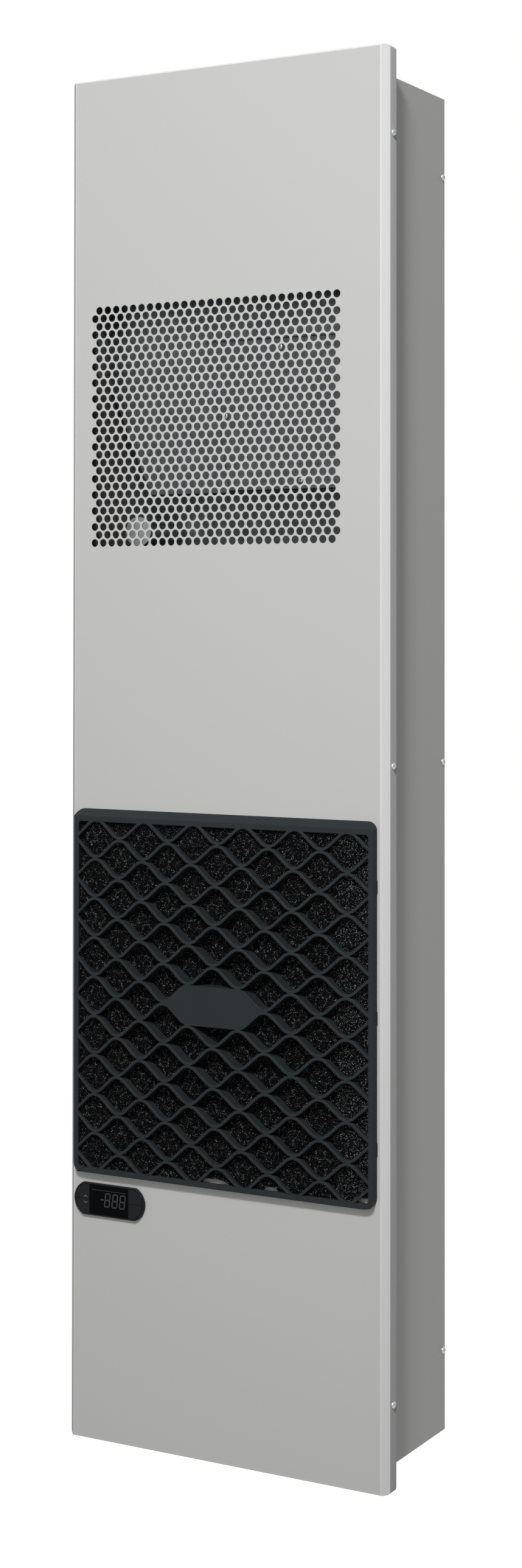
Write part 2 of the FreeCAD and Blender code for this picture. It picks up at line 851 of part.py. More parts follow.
def blade_face(x, y, z, inner, outer, start_angle, sweep):
    """Curved blade: one arc from the hub side to the rim, and the same arc turned by the blade's thickness."""
    def at(radius, angle):
        return V(x + radius * math.cos(angle), y, z + radius * math.sin(angle))

    middle = (inner + outer) / 2
    turn = blade_thickness / inner
    first = (at(inner, start_angle), at(middle, start_angle + blade_belly * sweep),
             at(outer, start_angle + sweep))
    second = (at(inner, start_angle + turn), at(middle, start_angle + turn + blade_belly * sweep),
              at(outer, start_angle + turn + sweep))
    edges = [Part.Arc(*first).toShape(), Part.LineSegment(first[2], second[2]).toShape(),
             Part.Arc(*reversed(second)).toShape(), Part.LineSegment(second[0], first[0]).toShape()]
    return Part.Face(Part.Wire(edges))


def impeller(x, z, disc_y, ring_y, hub_y, radius, hub_radius, eye_radius):
    """Backward-curved wheel: disc, hub, blades and an eye ring towards the air inlet."""
    to_ring = 1 if ring_y > disc_y else -1
    axis = V(0, to_ring, 0)
    disc = rod(V(x, disc_y, z), axis, radius, disc_thickness)
    hub = rod(V(x, disc_y, z), axis, hub_radius, abs(hub_y - disc_y))
    eye = ring(V(x, ring_y, z), axis * -1, radius, eye_radius, disc_thickness)
    blade_start = disc_y + to_ring * disc_thickness
    blade_run = ring_y - to_ring * disc_thickness - blade_start
    blades = []
    for index in range(blade_count):
        angle = 2 * math.pi * index / blade_count
        face = blade_face(x, blade_start, z, (hub_radius + eye_radius) / 2 + blade_thickness,
                          radius - blade_thickness, angle, -math.radians(blade_sweep))
        blades.append(face.extrude(V(0, blade_run, 0)))
    wheel = disc.fuse([hub, eye] + blades)
    bore = rod(V(x, disc_y, z), axis, shaft_radius + shaft_play, abs(hub_y - disc_y))
    return wheel.cut(bore).removeSplitter()


def fan_motor(start, axis, radius, depth, wheel_depth):
    """Flat motor with a collar that the wheel runs against and a shaft through the wheel."""
    base = rod(start, axis, radius, depth)
    collar = rod(start, axis, collar_radius, depth + wheel_gap)
    shaft = rod(start, axis, shaft_radius, depth + wheel_depth)
    return base.fuse([collar, shaft]).removeSplitter()


def evaporator_disc_y():
    return seal_front_y + evaporator_motor_depth + wheel_gap


def evaporator_fan_motor():
    return fan_motor(V(fan_x, seal_front_y, fan_z), ALONG_Y, evaporator_motor_radius, evaporator_motor_depth,
                     evaporator_wheel_depth)


def evaporator_impeller():
    disc = evaporator_disc_y()
    hub_end = disc + evaporator_hub_length
    return impeller(fan_x, fan_z, disc, disc + evaporator_wheel_depth, hub_end, evaporator_wheel_radius,
                    evaporator_hub_radius, inlet_radius)


def evaporator_inlet_cone():
    """Flared ring from the rear cover to the wheel's eye."""
    start = evaporator_disc_y() + evaporator_wheel_depth + inlet_overlap_gap
    flare_y = rear_inner_y - inlet_flare
    inner = [V(inlet_radius, start, 0), V(inlet_radius, flare_y, 0),
             V(inlet_radius + inlet_flare, rear_inner_y, 0)]
    bow = inlet_flare * (1 - math.sqrt(0.5))
    bent = V(inlet_radius + bow, rear_inner_y - bow, 0)
    edges = [Part.LineSegment(inner[0], inner[1]).toShape(), Part.Arc(inner[1], bent, inner[2]).toShape()]
    outer = [V(p.x + sheet, p.y, 0) for p in inner]
    edges.append(Part.LineSegment(inner[2], outer[2]).toShape())
    edges.append(Part.Arc(outer[2], bent + V(sheet, 0, 0), outer[1]).toShape())
    edges.append(Part.LineSegment(outer[1], outer[0]).toShape())
    edges.append(Part.LineSegment(outer[0], inner[0]).toShape())
    cone = Part.Face(Part.Wire(edges)).revolve(V(0, 0, 0), ALONG_Y, 360)
    cone.translate(V(fan_x, 0, fan_z))
    return cone


def condenser_disc_y():
    return partition_y - condenser_motor_depth - wheel_gap


def condenser_fan_motor():
    return fan_motor(V(0, partition_y, grille_z), ALONG_Y * -1, condenser_motor_radius, condenser_motor_depth,
                     condenser_wheel_depth)


def condenser_impeller():
    disc = condenser_disc_y()
    hub_end = disc - condenser_hub_length
    return impeller(0.0, grille_z, disc, disc - condenser_wheel_depth, hub_end, condenser_wheel_radius,
                    condenser_hub_radius, shroud_hole_radius)


# Coils

def coil_fins(y0, y1, z0, z1):
    return box(-coil_half, coil_half, y0, y1, z0, z1)


def end_plates(y0, y1, z0, z1):
    left = box(-coil_half - sheet, -coil_half, y0, y1, z0, z1)
    return Part.makeCompound([left, box(coil_half, coil_half + sheet, y0, y1, z0, z1)])


def condenser_fins():
    return coil_fins(condenser_y, condenser_y + condenser_depth, condenser_bottom, condenser_top)


def condenser_end_plates():
    return end_plates(condenser_y - end_plate_overhang, shroud_y, condenser_bottom - end_plate_overhang,
                      condenser_top + end_plate_overhang)


def condenser_shroud():
    """Wall behind the condenser with a lipped round opening for its fan."""
    low = condenser_bottom - condenser_margin
    high = condenser_top + condenser_margin
    wall = box(-body_inner, body_inner, shroud_y, shroud_y + sheet, low, high)
    outer = shroud_hole_radius + sheet
    lip = rod(V(0, shroud_y, grille_z), ALONG_Y, outer, shroud_lip)
    return wall.fuse(lip).cut(rod(V(0, shroud_y, grille_z), ALONG_Y, shroud_hole_radius, shroud_lip))


def evaporator_fins():
    half = evaporator_depth / 2
    return coil_fins(duct_middle_y - half, duct_middle_y + half, evaporator_bottom, evaporator_top)


def evaporator_end_plates():
    half = evaporator_depth / 2 + end_plate_overhang
    return end_plates(duct_middle_y - half, duct_middle_y + half, tray_bottom + tray_wall,
                      evaporator_top + end_plate_overhang)


def drip_tray():
    rear = rear_inner_y - tray_rear_gap
    tray = box(-tray_half, tray_half, partition_rear_y, rear, tray_bottom, tray_top - end_plate_overhang)
    hollow = box(-tray_half + tray_wall, tray_half - tray_wall, partition_rear_y + tray_wall, rear - tray_wall,
                 tray_bottom + tray_wall, tray_top)
    drain = rod(V(drain_x, drain_y, tray_bottom), ALONG_Z, drain_radius - drain_wall, tray_wall)
    return tray.cut(hollow).cut(drain)


def drain_tube():
    low = body_bottom - drain_stub
    return ring(V(drain_x, drain_y, low), ALONG_Z, drain_radius, drain_radius - drain_wall, tray_bottom - low)


# Compressor corner

def foot_ring(reach):
    """Three points round the compressor, one straight to the front."""
    angles = [math.radians(-90 + 120 * step) for step in range(3)]
    return [(compressor_x + reach * math.cos(a), compressor_y + reach * math.sin(a)) for a in angles]


def foot_places():
    return foot_ring(foot_reach - foot_round)


def bolt_holes(z0, z1):
    return [rod(V(x, y, z0), ALONG_Z, bolt_radius + screw_play, z1 - z0) for x, y in foot_places()]


def round_can(x, y, bottom, radius, height, shoulder):
    """Upright can with both ends rounded."""
    can = rod(V(x, y, bottom), ALONG_Z, radius, height)
    rims = [edge for edge in can.Edges if isinstance(edge.Curve, Part.Circle)]
    return can.makeFillet(shoulder, rims)


def compressor():
    """Rounded can on a three-cornered foot plate."""
    can = round_can(compressor_x, compressor_y, can_bottom, compressor_radius, compressor_height,
                    compressor_shoulder)
    corners = [V(x, y, foot_bottom) for x, y in foot_ring(foot_reach + foot_round)]
    foot = Part.Face(rounded_wire(corners, [foot_round] * 3)).extrude(V(0, 0, foot_thickness))
    return cut_all(can.fuse(foot), bolt_holes(foot_bottom, can_bottom))


def compressor_base():
    reach = foot_reach + base_margin
    rear = compressor_y + foot_reach / 2 + foot_round
    base = box(compressor_x - reach, compressor_x + reach, compressor_y - reach, rear, floor_z, base_top)
    return cut_all(base, bolt_holes(floor_z, base_top))


def compressor_grommets():
    hole = bolt_radius + screw_play
    return Part.makeCompound([ring(V(x, y, base_top), ALONG_Z, grommet_radius, hole, grommet_height)
                              for x, y in foot_places()])


def compressor_bolts():
    bolts = []
    for x, y in foot_places():
        head = rod(V(x, y, can_bottom), ALONG_Z, bolt_head_radius, bolt_head_height)
        shank = rod(V(x, y, floor_z), ALONG_Z, bolt_radius, can_bottom - floor_z)
        bolts.append(head.fuse(shank).removeSplitter())
    return Part.makeCompound(bolts)


def accumulator():
    """Suction accumulator strapped to the side of the compressor."""
    can = round_can(accumulator_x, compressor_y, accumulator_bottom, accumulator_radius, accumulator_height,
                    accumulator_shoulder)
    middle = accumulator_bottom + accumulator_height / 2
    strap = box(accumulator_x, compressor_x, compressor_y - strap_width / 2, compressor_y + strap_width / 2,
                middle - strap_height / 2, middle + strap_height / 2)
    main_can = rod(V(compressor_x, compressor_y, can_bottom), ALONG_Z, compressor_radius, compressor_height)
    return can.fuse(strap.cut(main_can))


def terminal_cover():
    """Cap over the compressor's terminals, on the front of the can."""
    middle = can_bottom + compressor_height / 2
    front = compressor_y - compressor_radius - terminal_depth
    cap = box(compressor_x - terminal_width / 2, compressor_x + terminal_width / 2, front, compressor_y,
              middle - terminal_height / 2, middle + terminal_height / 2)
    main_can = rod(V(compressor_x, compressor_y, can_bottom), ALONG_Z, compressor_radius, compressor_height)
    return cap.cut(main_can)


# Refrigerant circuit

def discharge_pipe():
    x = compressor_x + compressor_radius / 2
    high = condenser_top - pipe_clear
    return pipe([V(x, compressor_y, can_top), V(x, compressor_y, discharge_z), V(x, discharge_y, discharge_z),
                 V(pipe_x, discharge_y, discharge_z), V(pipe_x, discharge_y, high),
                 V(coil_half + sheet, discharge_y, high)], pipe_radius)


def liquid_pipe():
    high = condenser_bottom + pipe_clear
    return pipe([V(coil_half + sheet, liquid_y, high), V(pipe_x, liquid_y, high), V(pipe_x, liquid_y, liquid_z),
                 V(drier_x, liquid_y, liquid_z)], pipe_radius)


def filter_drier():
    return rod(V(drier_x, liquid_y, liquid_z), ALONG_X * -1, drier_radius, drier_length)


def capillary_tube():
    end = drier_x - drier_length
    turn = end - 2 * pipe_bend
    low = partition_foot_z - pipe_clear
    high = evaporator_top - pipe_clear
    return pipe([V(end, liquid_y, liquid_z), V(turn, liquid_y, liquid_z), V(turn, liquid_y, low),
                 V(turn, pipe_duct_y, low), V(-pipe_x, pipe_duct_y, low), V(-pipe_x, pipe_duct_y, high),
                 V(-coil_half - sheet, pipe_duct_y, high)], capillary_radius)


def suction_pipe():
    high = evaporator_bottom + pipe_clear
    return pipe([V(coil_half + sheet, pipe_duct_y, high), V(pipe_x, pipe_duct_y, high),
                 V(pipe_x, pipe_duct_y, suction_z), V(accumulator_x, pipe_duct_y, suction_z),
                 V(accumulator_x, compressor_y, suction_z), V(accumulator_x, compressor_y, accumulator_top)],
                pipe_radius)


# Electrical parts

box_front_y = cover_inner_y + box_front_gap
box_left = -body_inner
box_right = box_left + box_width
box_rear_y = box_front_y + box_depth
box_top = floor_z + box_height


def electrical_box():
    """Open-fronted box against the body's side wall and floor."""
    case = box(box_left, box_right, box_front_y, box_rear_y, floor_z, box_top)
    return case.cut(box(box_left + box_wall, box_right - box_wall, box_front_y, box_rear_y - box_wall,
                        floor_z + box_wall, box_top - box_wall))


def electrical_box_lid():
    return box(box_left, box_right, box_front_y - box_wall, box_front_y, floor_z, box_top)


def terminal_block():
    """Row of terminals on the box's back wall."""
    left = (box_left + box_right - terminal_block_length) / 2
    rear = box_rear_y - box_wall
    low = floor_z + box_wall + terminal_block_height
    block = box(left, left + terminal_block_length, rear - terminal_block_depth, rear, low,
                low + terminal_block_height)
    way = terminal_block_length / terminal_ways
    grooves = [box(left + step * way + terminal_wall, left + (step + 1) * way - terminal_wall,
                   rear - terminal_block_depth, rear - terminal_block_depth / 2,
                   low + terminal_block_height / 2, low + terminal_block_height)
               for step in range(terminal_ways)]
    return cut_all(block, grooves)


def run_capacitor():
    x = box_right - box_wall - capacitor_radius
    rear = box_rear_y - box_wall
    z = box_top - box_wall - 2 * capacitor_radius
    return rod(V(x, rear, z), ALONG_Y * -1, capacitor_radius, capacitor_length)


def fan_capacitor():
    """Capacitor of the fans, upright on the partition beside the fan housing."""
    x = -body_inner + fan_capacitor_side
    z = fan_z - fan_capacitor_drop
    return rod(V(x, partition_y, z), ALONG_Y * -1, capacitor_radius, partition_y - housing_y)


nodes = {
    "front_cover": front_cover(),
    "cover_screws": cover_screws(),
    "chassis": chassis(),
    "mounting_studs": mounting_studs(),
    "mounting_gasket": mounting_gasket(),
    "rear_cover": rear_cover(),
    "rear_cover_screws": rear_cover_screws(),
    "supply_socket": supply_socket(),
    "filter_grille": filter_grille(),
    "grille_clips": grille_clips(),
    "filter_mat": filter_mat(),
    "controller_bezel": controller_bezel(),
    "controller_window": controller_window(),
    "controller_case": controller_case(),
    "controller_board": controller_board(),
    "controller_clips": controller_clips(),
    "key_up": key(-1, 1),
    "key_down": key(-1, -1),
    "key_standby": key(1, 1),
    "key_set": key(1, -1),
    "partition_wall": partition_wall(),
    "fan_housing": fan_housing(),
    "fan_plate": fan_plate(),
    "fan_plate_gasket": fan_plate_gasket(),
    "fan_plate_screws": fan_plate_screws(),
    "evaporator_fan_motor": evaporator_fan_motor(),
    "evaporator_impeller": evaporator_impeller(),
    "evaporator_inlet_cone": evaporator_inlet_cone(),
    "condenser_fins": condenser_fins(),
    "condenser_end_plates": condenser_end_plates(),
    "condenser_shroud": condenser_shroud(),
    "condenser_fan_motor": condenser_fan_motor(),
    "condenser_impeller": condenser_impeller(),
    "evaporator_fins": evaporator_fins(),
    "evaporator_end_plates": evaporator_end_plates(),
    "drip_tray": drip_tray(),
    "drain_tube": drain_tube(),
    "compressor": compressor(),
    "compressor_base": compressor_base(),
    "compressor_grommets": compressor_grommets(),
    "compressor_bolts": compressor_bolts(),
    "accumulator": accumulator(),
    "terminal_cover": terminal_cover(),
    "discharge_pipe": discharge_pipe(),
    "liquid_pipe": liquid_pipe(),
    "filter_drier": filter_drier(),
    "capillary_tube": capillary_tube(),
    "suction_pipe": suction_pipe(),
    "electrical_box": electrical_box(),
    "electrical_box_lid": electrical_box_lid(),
    "terminal_block": terminal_block(),
    "run_capacitor": run_capacitor(),
    "fan_capacitor": fan_capacitor(),
}

os.makedirs("parts", exist_ok=True)
for name, shape in nodes.items():
    shape.exportStep(f"parts/{name}.step")
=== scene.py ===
"""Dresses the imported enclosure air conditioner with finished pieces, materials, light and a camera."""
import json
import math

import bmesh
import bpy
from mathutils import Euler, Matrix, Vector


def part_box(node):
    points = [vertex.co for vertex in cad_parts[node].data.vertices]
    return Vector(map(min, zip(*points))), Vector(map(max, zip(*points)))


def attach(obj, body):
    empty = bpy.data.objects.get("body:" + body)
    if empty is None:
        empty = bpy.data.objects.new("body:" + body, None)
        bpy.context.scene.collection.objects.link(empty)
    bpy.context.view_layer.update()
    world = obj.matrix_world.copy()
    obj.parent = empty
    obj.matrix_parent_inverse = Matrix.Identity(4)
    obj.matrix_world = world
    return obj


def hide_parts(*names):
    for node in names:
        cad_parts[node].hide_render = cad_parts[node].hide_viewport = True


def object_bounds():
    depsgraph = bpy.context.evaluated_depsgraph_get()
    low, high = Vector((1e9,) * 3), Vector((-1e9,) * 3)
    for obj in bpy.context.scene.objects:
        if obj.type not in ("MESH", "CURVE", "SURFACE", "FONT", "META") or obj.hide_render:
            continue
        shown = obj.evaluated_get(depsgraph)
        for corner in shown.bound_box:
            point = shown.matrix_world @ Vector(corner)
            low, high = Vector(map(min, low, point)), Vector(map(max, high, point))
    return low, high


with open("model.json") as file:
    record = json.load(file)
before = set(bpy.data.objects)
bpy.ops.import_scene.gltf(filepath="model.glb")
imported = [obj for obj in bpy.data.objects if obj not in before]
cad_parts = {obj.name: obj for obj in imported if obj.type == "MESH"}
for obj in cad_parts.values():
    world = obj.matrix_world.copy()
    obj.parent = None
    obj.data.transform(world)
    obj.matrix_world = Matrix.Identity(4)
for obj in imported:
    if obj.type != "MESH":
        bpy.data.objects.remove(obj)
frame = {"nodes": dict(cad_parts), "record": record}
cad_low, cad_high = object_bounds()

bl_info = {
    "name": "Enclosure air conditioner",
    "version": (1, 0, 0),
    "blender": (4, 5, 0),
    "location": "3D View > Sidebar > Air conditioner",
    "description": "Builds the visible pieces of an enclosure air conditioner around its CAD frame",
    "category": "Object",
}

MM = 0.001
QUARTER = math.pi / 2
WHITE = (1.0, 1.0, 1.0, 1.0)
BLACK = (0.0, 0.0, 0.0, 1.0)
UNIT = "unit"
GRILLE = "filter_grille"
MATH = "ShaderNodeMath"
VECTOR_MATH = "ShaderNodeVectorMath"
MAP_RANGE = "ShaderNodeMapRange"
MIX = "ShaderNodeMix"
MIX_A, MIX_B, MIX_RESULT = 6, 7, 2  # colour sockets of a Mix node, whose names repeat
MERGE = 0.002 * MM  # points of a CAD mesh that lie closer than this are one point
WELD = 0.001 * MM  # points of a new mesh that lie closer than this are joined
SLACK = 0.01 * MM  # places of a new mesh that differ by less than this count as the same
FLAT_ANGLE = math.radians(1)  # facets that turn less than this are merged
BEVEL_ANGLE = math.radians(35)  # moulded edges that turn further than this are rounded
SMOOTH_ANGLE = math.radians(40)  # edges that turn further than this are shaded sharp
EDGE_STEPS, BORDER_STEPS = 2, 4  # facets of a rounded edge, and of a frame's wider one


def linear(code):
    """Linear RGBA of an sRGB hex colour."""
    channels = [int(code[start:start + 2], 16) / 255 for start in (1, 3, 5)]
    return tuple(c / 12.92 if c <= 0.04045 else ((c + 0.055) / 1.055) ** 2.4 for c in channels) + (1.0,)


def add_node(tree, kind, inputs=None, **settings):
    """Adds a node, sets its properties, and fills or links its inputs; a node as input means its first output."""
    node = tree.nodes.new(kind)
    for name, value in settings.items():
        setattr(node, name, value)
    for key, value in (inputs or {}).items():
        if isinstance(value, bpy.types.Node):
            value = value.outputs[0]
        if isinstance(value, bpy.types.NodeSocket):
            tree.links.new(value, node.inputs[key])
        else:
            node.inputs[key].default_value = value
    return node


# Sizes and colours that a user would change

def length(name, text, millimetres):
    """Property of a length in metres, with its default in millimetres."""
    return bpy.props.FloatProperty(name=name, description=text, default=millimetres * MM, unit="LENGTH", precision=5)


def colour(name, text, code):
    """Property of a linear colour, with its default as an sRGB hex code."""
    return bpy.props.FloatVectorProperty(name=name, description=text, default=linear(code), size=4,
                                         min=0.0, max=1.0, subtype="COLOR")


class CoverSizes(bpy.types.PropertyGroup):
    hole_diameter: length("Hole diameter", "Diameter of a round hole in the perforated fields", 8.9)
    pitch_x: length("Hole pitch across", "Distance between holes of one row", 11.33)
    pitch_z: length("Hole pitch up", "Distance between rows", 9.16)
    columns: bpy.props.IntProperty(name="Columns", description="Holes in a row", default=28, min=1)
    outlet_rows: bpy.props.IntProperty(name="Outlet rows", description="Rows of the upper field", default=30, min=1)
    filter_rows: bpy.props.IntProperty(name="Filter rows", description="Rows behind the filter", default=42, min=1)
    field_left: length("Field left", "Centre of the first hole, from the middle of the cover", -169.1)
    outlet_low: length("Outlet low", "Height of the upper field's lowest row", 244.1)
    filter_low: length("Filter low", "Height of the lowest row behind the filter", -457.0)
    sheet: length("Sheet", "Thickness of the folded sheet", 1.5)
    bevel: length("Bevel", "Width of the bevel along the long edges", 7.5)
    side_bend: length("Side bend", "Outer radius of the bends along the bevels", 2.5)
    end_bend: length("End bend", "Outer radius of the bends at top and bottom", 1.7)
    corner: length("Corner", "Radius of the outline's corners", 4.0)


class GrilleSizes(bpy.types.PropertyGroup):
    edge: length("Rib edge", "Rounding of the moulded edges", 0.7)
    frame_edge: length("Frame edge", "Rounding of the frame's outer front edges", 2.2)
    frame_slope: length("Frame slope", "Height of the sloping top of the frame", 8.0)
    bottom_slope: length("Bottom slope", "Height of the sloping bottom of the frame", 2.0)
    rim_depth: length("Rim depth", "Depth of the frame's rim", 9.5)
    left_draft: length("Left draft", "Lean of the frame's left wall", 1.0)
    corner: length("Frame corner", "Radius of the frame's lower corners", 14.0)
    foam_step: length("Foam step", "Spacing of the points on the foam's surface", 2.3)
    foam_rough: length("Foam roughness", "Depth of the foam's pores", 0.7)


class FastenerSizes(bpy.types.PropertyGroup):
    head_radius: length("Head radius", "Radius of a pan head", 4.0)
    head_height: length("Head height", "Height of a pan head", 2.6)
    shank_radius: length("Shank radius", "Radius of a screw's shank", 2.0)
    shank_length: length("Shank length", "Length of a screw under its head", 8.0)
    stud_pitch: length("Stud pitch", "Pitch of the studs' thread", 1.0)
    thread_depth: length("Thread depth", "Depth of the studs' thread", 0.6)


class ControllerSizes(bpy.types.PropertyGroup):
    bezel_edge: length("Bezel edge", "Rounding of the bezel's edges", 0.5)
    key_edge: length("Key edge", "Rounding of the keys' edges", 0.3)
    stand: bpy.props.FloatProperty(name="Stand", description="Share of the CAD's stand-off that the front keeps",
                                   default=0.55, min=0.1, max=1.0)
    key_room: length("Key room", "Thickness taken off the keys' backs, so that they can travel", 0.35)
    lift: length("Lift", "Height of the controller's front over the CAD's", 1.5)
    end_stretch: bpy.props.FloatProperty(name="End stretch", description="How much longer the round ends are drawn",
                                         default=0.09, min=0.0, max=0.2)
    digit_height: length("Digit height", "Height of a digit of the display", 16.2)
    digit_width: length("Digit width", "Width of a digit of the display", 7.7)
    digit_pitch: length("Digit pitch", "Distance between digits", 10.0)
    stroke: length("Stroke", "Width of a digit's segments", 1.5)
    lean: bpy.props.FloatProperty(name="Lean", description="Slope of the digits", default=math.radians(7),
                                  subtype="ANGLE")


class CoilSizes(bpy.types.PropertyGroup):
    fin_pitch: length("Fin pitch", "Distance between fins", 2.5)
    fin_thickness: length("Fin thickness", "Thickness of a fin", 0.5)


class Colours(bpy.types.PropertyGroup):
    paint: colour("Paint", "Powder coat of the cover and the body", "#c9c9c8")
    grille: colour("Grille", "Moulded grille", "#303537")
    foam: colour("Foam", "Filter foam", "#0a0a0b")
    # painted highlight: the colour of the glints that the foam's struts catch, painted into the foam
    painted_glint: colour("Foam struts", "Glint of the foam's struts", "#c2c6c8")
    plastic: colour("Black plastic", "Controller, impellers and socket", "#232425")
    window: colour("Window", "Smoked display window", "#020203")
    segment: colour("Segments", "Unlit segments of the display", "#3a3d40")
    mark: colour("Marks", "Printed arrows on the keys", "#989b9d")
    # partly painted shade: a galvanised grey, darkened to stand in for the shade inside the box
    zinc: colour("Zinc", "Galvanised sheet", "#66696b")
    steel: colour("Steel", "Plated screws and studs", "#b9bbbd")
    copper: colour("Copper", "Refrigerant pipes", "#b87350")
    aluminium: colour("Aluminium", "Fins and capacitor cans", "#c3c6c8")
    rubber: colour("Rubber", "Gaskets, grommets and drain", "#151516")
    enamel: colour("Enamel", "Compressor and motors", "#121314")
    polymer: colour("Grey plastic", "Drip tray and terminals", "#8b8e90")
    board: colour("Board", "Circuit board", "#1f5a38")
    floor: colour("Floor", "Studio floor", "#949493")


GROUPS = {
    "aircon_cover": CoverSizes,
    "aircon_grille": GrilleSizes,
    "aircon_fasteners": FastenerSizes,
    "aircon_controller": ControllerSizes,
    "aircon_coils": CoilSizes,
    "aircon_colours": Colours,
}


# Finishes

def cover_face():
    """Depth of the front cover's face."""
    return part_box("front_cover")[0].y


def shade(tone, factor):
    """A colour made darker or lighter."""
    return tuple(min(1.0, channel * factor) for channel in tone[:3]) + (1.0,)


def grade(tree, shader, pattern, tone=None, shades=None, roughness=None, depth=0.0, strength=0.5, round_edge=0.0):
    """Lets a 0 to 1 pattern swing a shader's colour between two shades, its roughness, and its height in metres."""
    if shades:
        mix = add_node(tree, MIX, {"Factor": pattern, MIX_A: shade(tone, shades[0]), MIX_B: shade(tone, shades[1])},
                       data_type="RGBA")
        tree.links.new(mix.outputs[MIX_RESULT], shader.inputs["Base Color"])
    if roughness:
        level = add_node(tree, MAP_RANGE, {"Value": pattern, "To Min": roughness[0], "To Max": roughness[1]})
        tree.links.new(level.outputs[0], shader.inputs["Roughness"])
    if depth:
        bump = add_node(tree, "ShaderNodeBump", {"Height": pattern, "Distance": depth, "Strength": strength})
        if round_edge:
            edge = add_node(tree, "ShaderNodeBevel", {"Radius": round_edge}, samples=8)
            tree.links.new(edge.outputs[0], bump.inputs["Normal"])
        tree.links.new(bump.outputs[0], shader.inputs["Normal"])


def new_finish(name, tone, roughness, metallic=0.0, specular=0.5, layers=()):
    """Material with a shader, and the coordinates that its patterns read.
    Each layer of noise has its grain in metres, its detail, and what it swings, in the words of grade."""
    material = bpy.data.materials.new(name)
    material.use_nodes = True
    material.diffuse_color = tone
    tree = material.node_tree
    tree.nodes.clear()
    shader = add_node(tree, "ShaderNodeBsdfPrincipled", {
        "Base Color": tone, "Roughness": roughness, "Metallic": metallic, "Specular IOR Level": specular})
    add_node(tree, "ShaderNodeOutputMaterial", {"Surface": shader})
    place = add_node(tree, "ShaderNodeTexCoord").outputs["Object"]
    for grain, detail, swings in layers:
        noise = add_node(tree, "ShaderNodeTexNoise", {"Vector": place, "Scale": 1 / grain, "Detail": detail})
        grade(tree, shader, noise, tone, **swings)
    return material, tree, shader, place


def powder_coat(tone):
    # Polyester powder coat, sprayed and baked: semi-matt, with the soft 4 mm orange peel that breaks up highlights.
    # It draws back from punched and cut edges, which look rounded. Its grain of 0.6 mm is drawn at 1.6 mm so that
    # it shows. The inside of the box is painted much darker than the coat, as painted shade.
    material, tree, shader, place = new_finish("powder_coat_baked", tone, 0.42, layers=[
        (1.6 * MM, 2.0, {"shades": (0.985, 1.015), "roughness": (0.36, 0.48)}),
        (4 * MM, 1.0, {"depth": 0.05 * MM, "round_edge": 0.6 * MM})])
    low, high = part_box("chassis")
    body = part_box("rear_cover")[1]
    half_wall = 0.75 * MM
    tray_reach = 7 * MM  # how far past the body's sides the cover's tray takes the painted shade
    flange = 14 * MM  # how far the flange reaches below the body's floor
    part = add_node(tree, "ShaderNodeSeparateXYZ", {0: place})
    across = add_node(tree, MATH, {0: part}, operation="ABSOLUTE")
    tray = add_node(tree, MATH, {0: part.outputs[1], 1: -half_wall}, operation="LESS_THAN")
    reach = add_node(tree, MATH, {0: tray, 1: tray_reach, 2: body.x + half_wall}, operation="MULTIPLY_ADD")
    shade_inside = add_node(tree, MATH, {0: across, 1: reach}, operation="LESS_THAN")
    for axis, limit, test in ((1, cover_face() + half_wall, "GREATER_THAN"), (1, high.y - half_wall, "LESS_THAN"),
                              (2, low.z + flange, "GREATER_THAN"), (2, body.z + half_wall, "LESS_THAN")):
        within = add_node(tree, MATH, {0: part.outputs[axis], 1: limit}, operation=test)
        shade_inside = add_node(tree, MATH, {0: shade_inside, 1: within}, operation="MULTIPLY")
    painted = shader.inputs["Base Color"].links[0].from_socket
    # painted shade: inside the box the paint's colour is taken down to 0.22 to stand in for the shade there
    coat = add_node(tree, MIX, {"Factor": shade_inside, MIX_A: painted, MIX_B: shade(tone, 0.22)}, data_type="RGBA")
    tree.links.new(coat.outputs[MIX_RESULT], shader.inputs["Base Color"])
    return material


def galvanised_sheet(tone):
    # Hot-dip galvanised sheet: crystals of 8 to 15 mm, each with its own grey and gloss, under a dull film.
    material, tree, shader, place = new_finish("galvanised_sheet_spangled", tone, 0.42, metallic=0.85, layers=[
        (3 * MM, 3.0, {"depth": 0.03 * MM})])
    crystal = add_node(tree, "ShaderNodeTexVoronoi", {"Vector": place, "Scale": 1 / (11 * MM)})
    grey = add_node(tree, "ShaderNodeSeparateColor", {"Color": crystal.outputs["Color"]})
    grade(tree, shader, grey, tone, shades=(0.82, 1.08))
    grade(tree, shader, grey.outputs[1], roughness=(0.34, 0.55))
    return material


def plated_steel(tone):
    # Zinc-plated steel, turned and barrel plated: bright, with fine tumbling marks about 0.5 mm long.
    return new_finish("zinc_plated_steel_tumbled", tone, 0.28, metallic=1.0, layers=[
        (0.5 * MM, 3.0, {"shades": (0.85, 1.05), "roughness": (0.22, 0.40), "depth": 0.02 * MM})])[0]


def moulded_plastic(tone, name, roughness, grain, depth, specular, edge):
    # Injection-moulded plastic from a spark-eroded mould: an even leathery grain that keeps reflections broad and
    # dim, and rounded edges that catch a thin line of light.
    return new_finish(name, tone, roughness, specular=specular, layers=[
        (45 * MM, 1.0, {"shades": (0.92, 1.08)}),
        (grain, 3.0, {"roughness": (roughness - 0.06, roughness + 0.08), "depth": depth, "round_edge": edge})])[0]


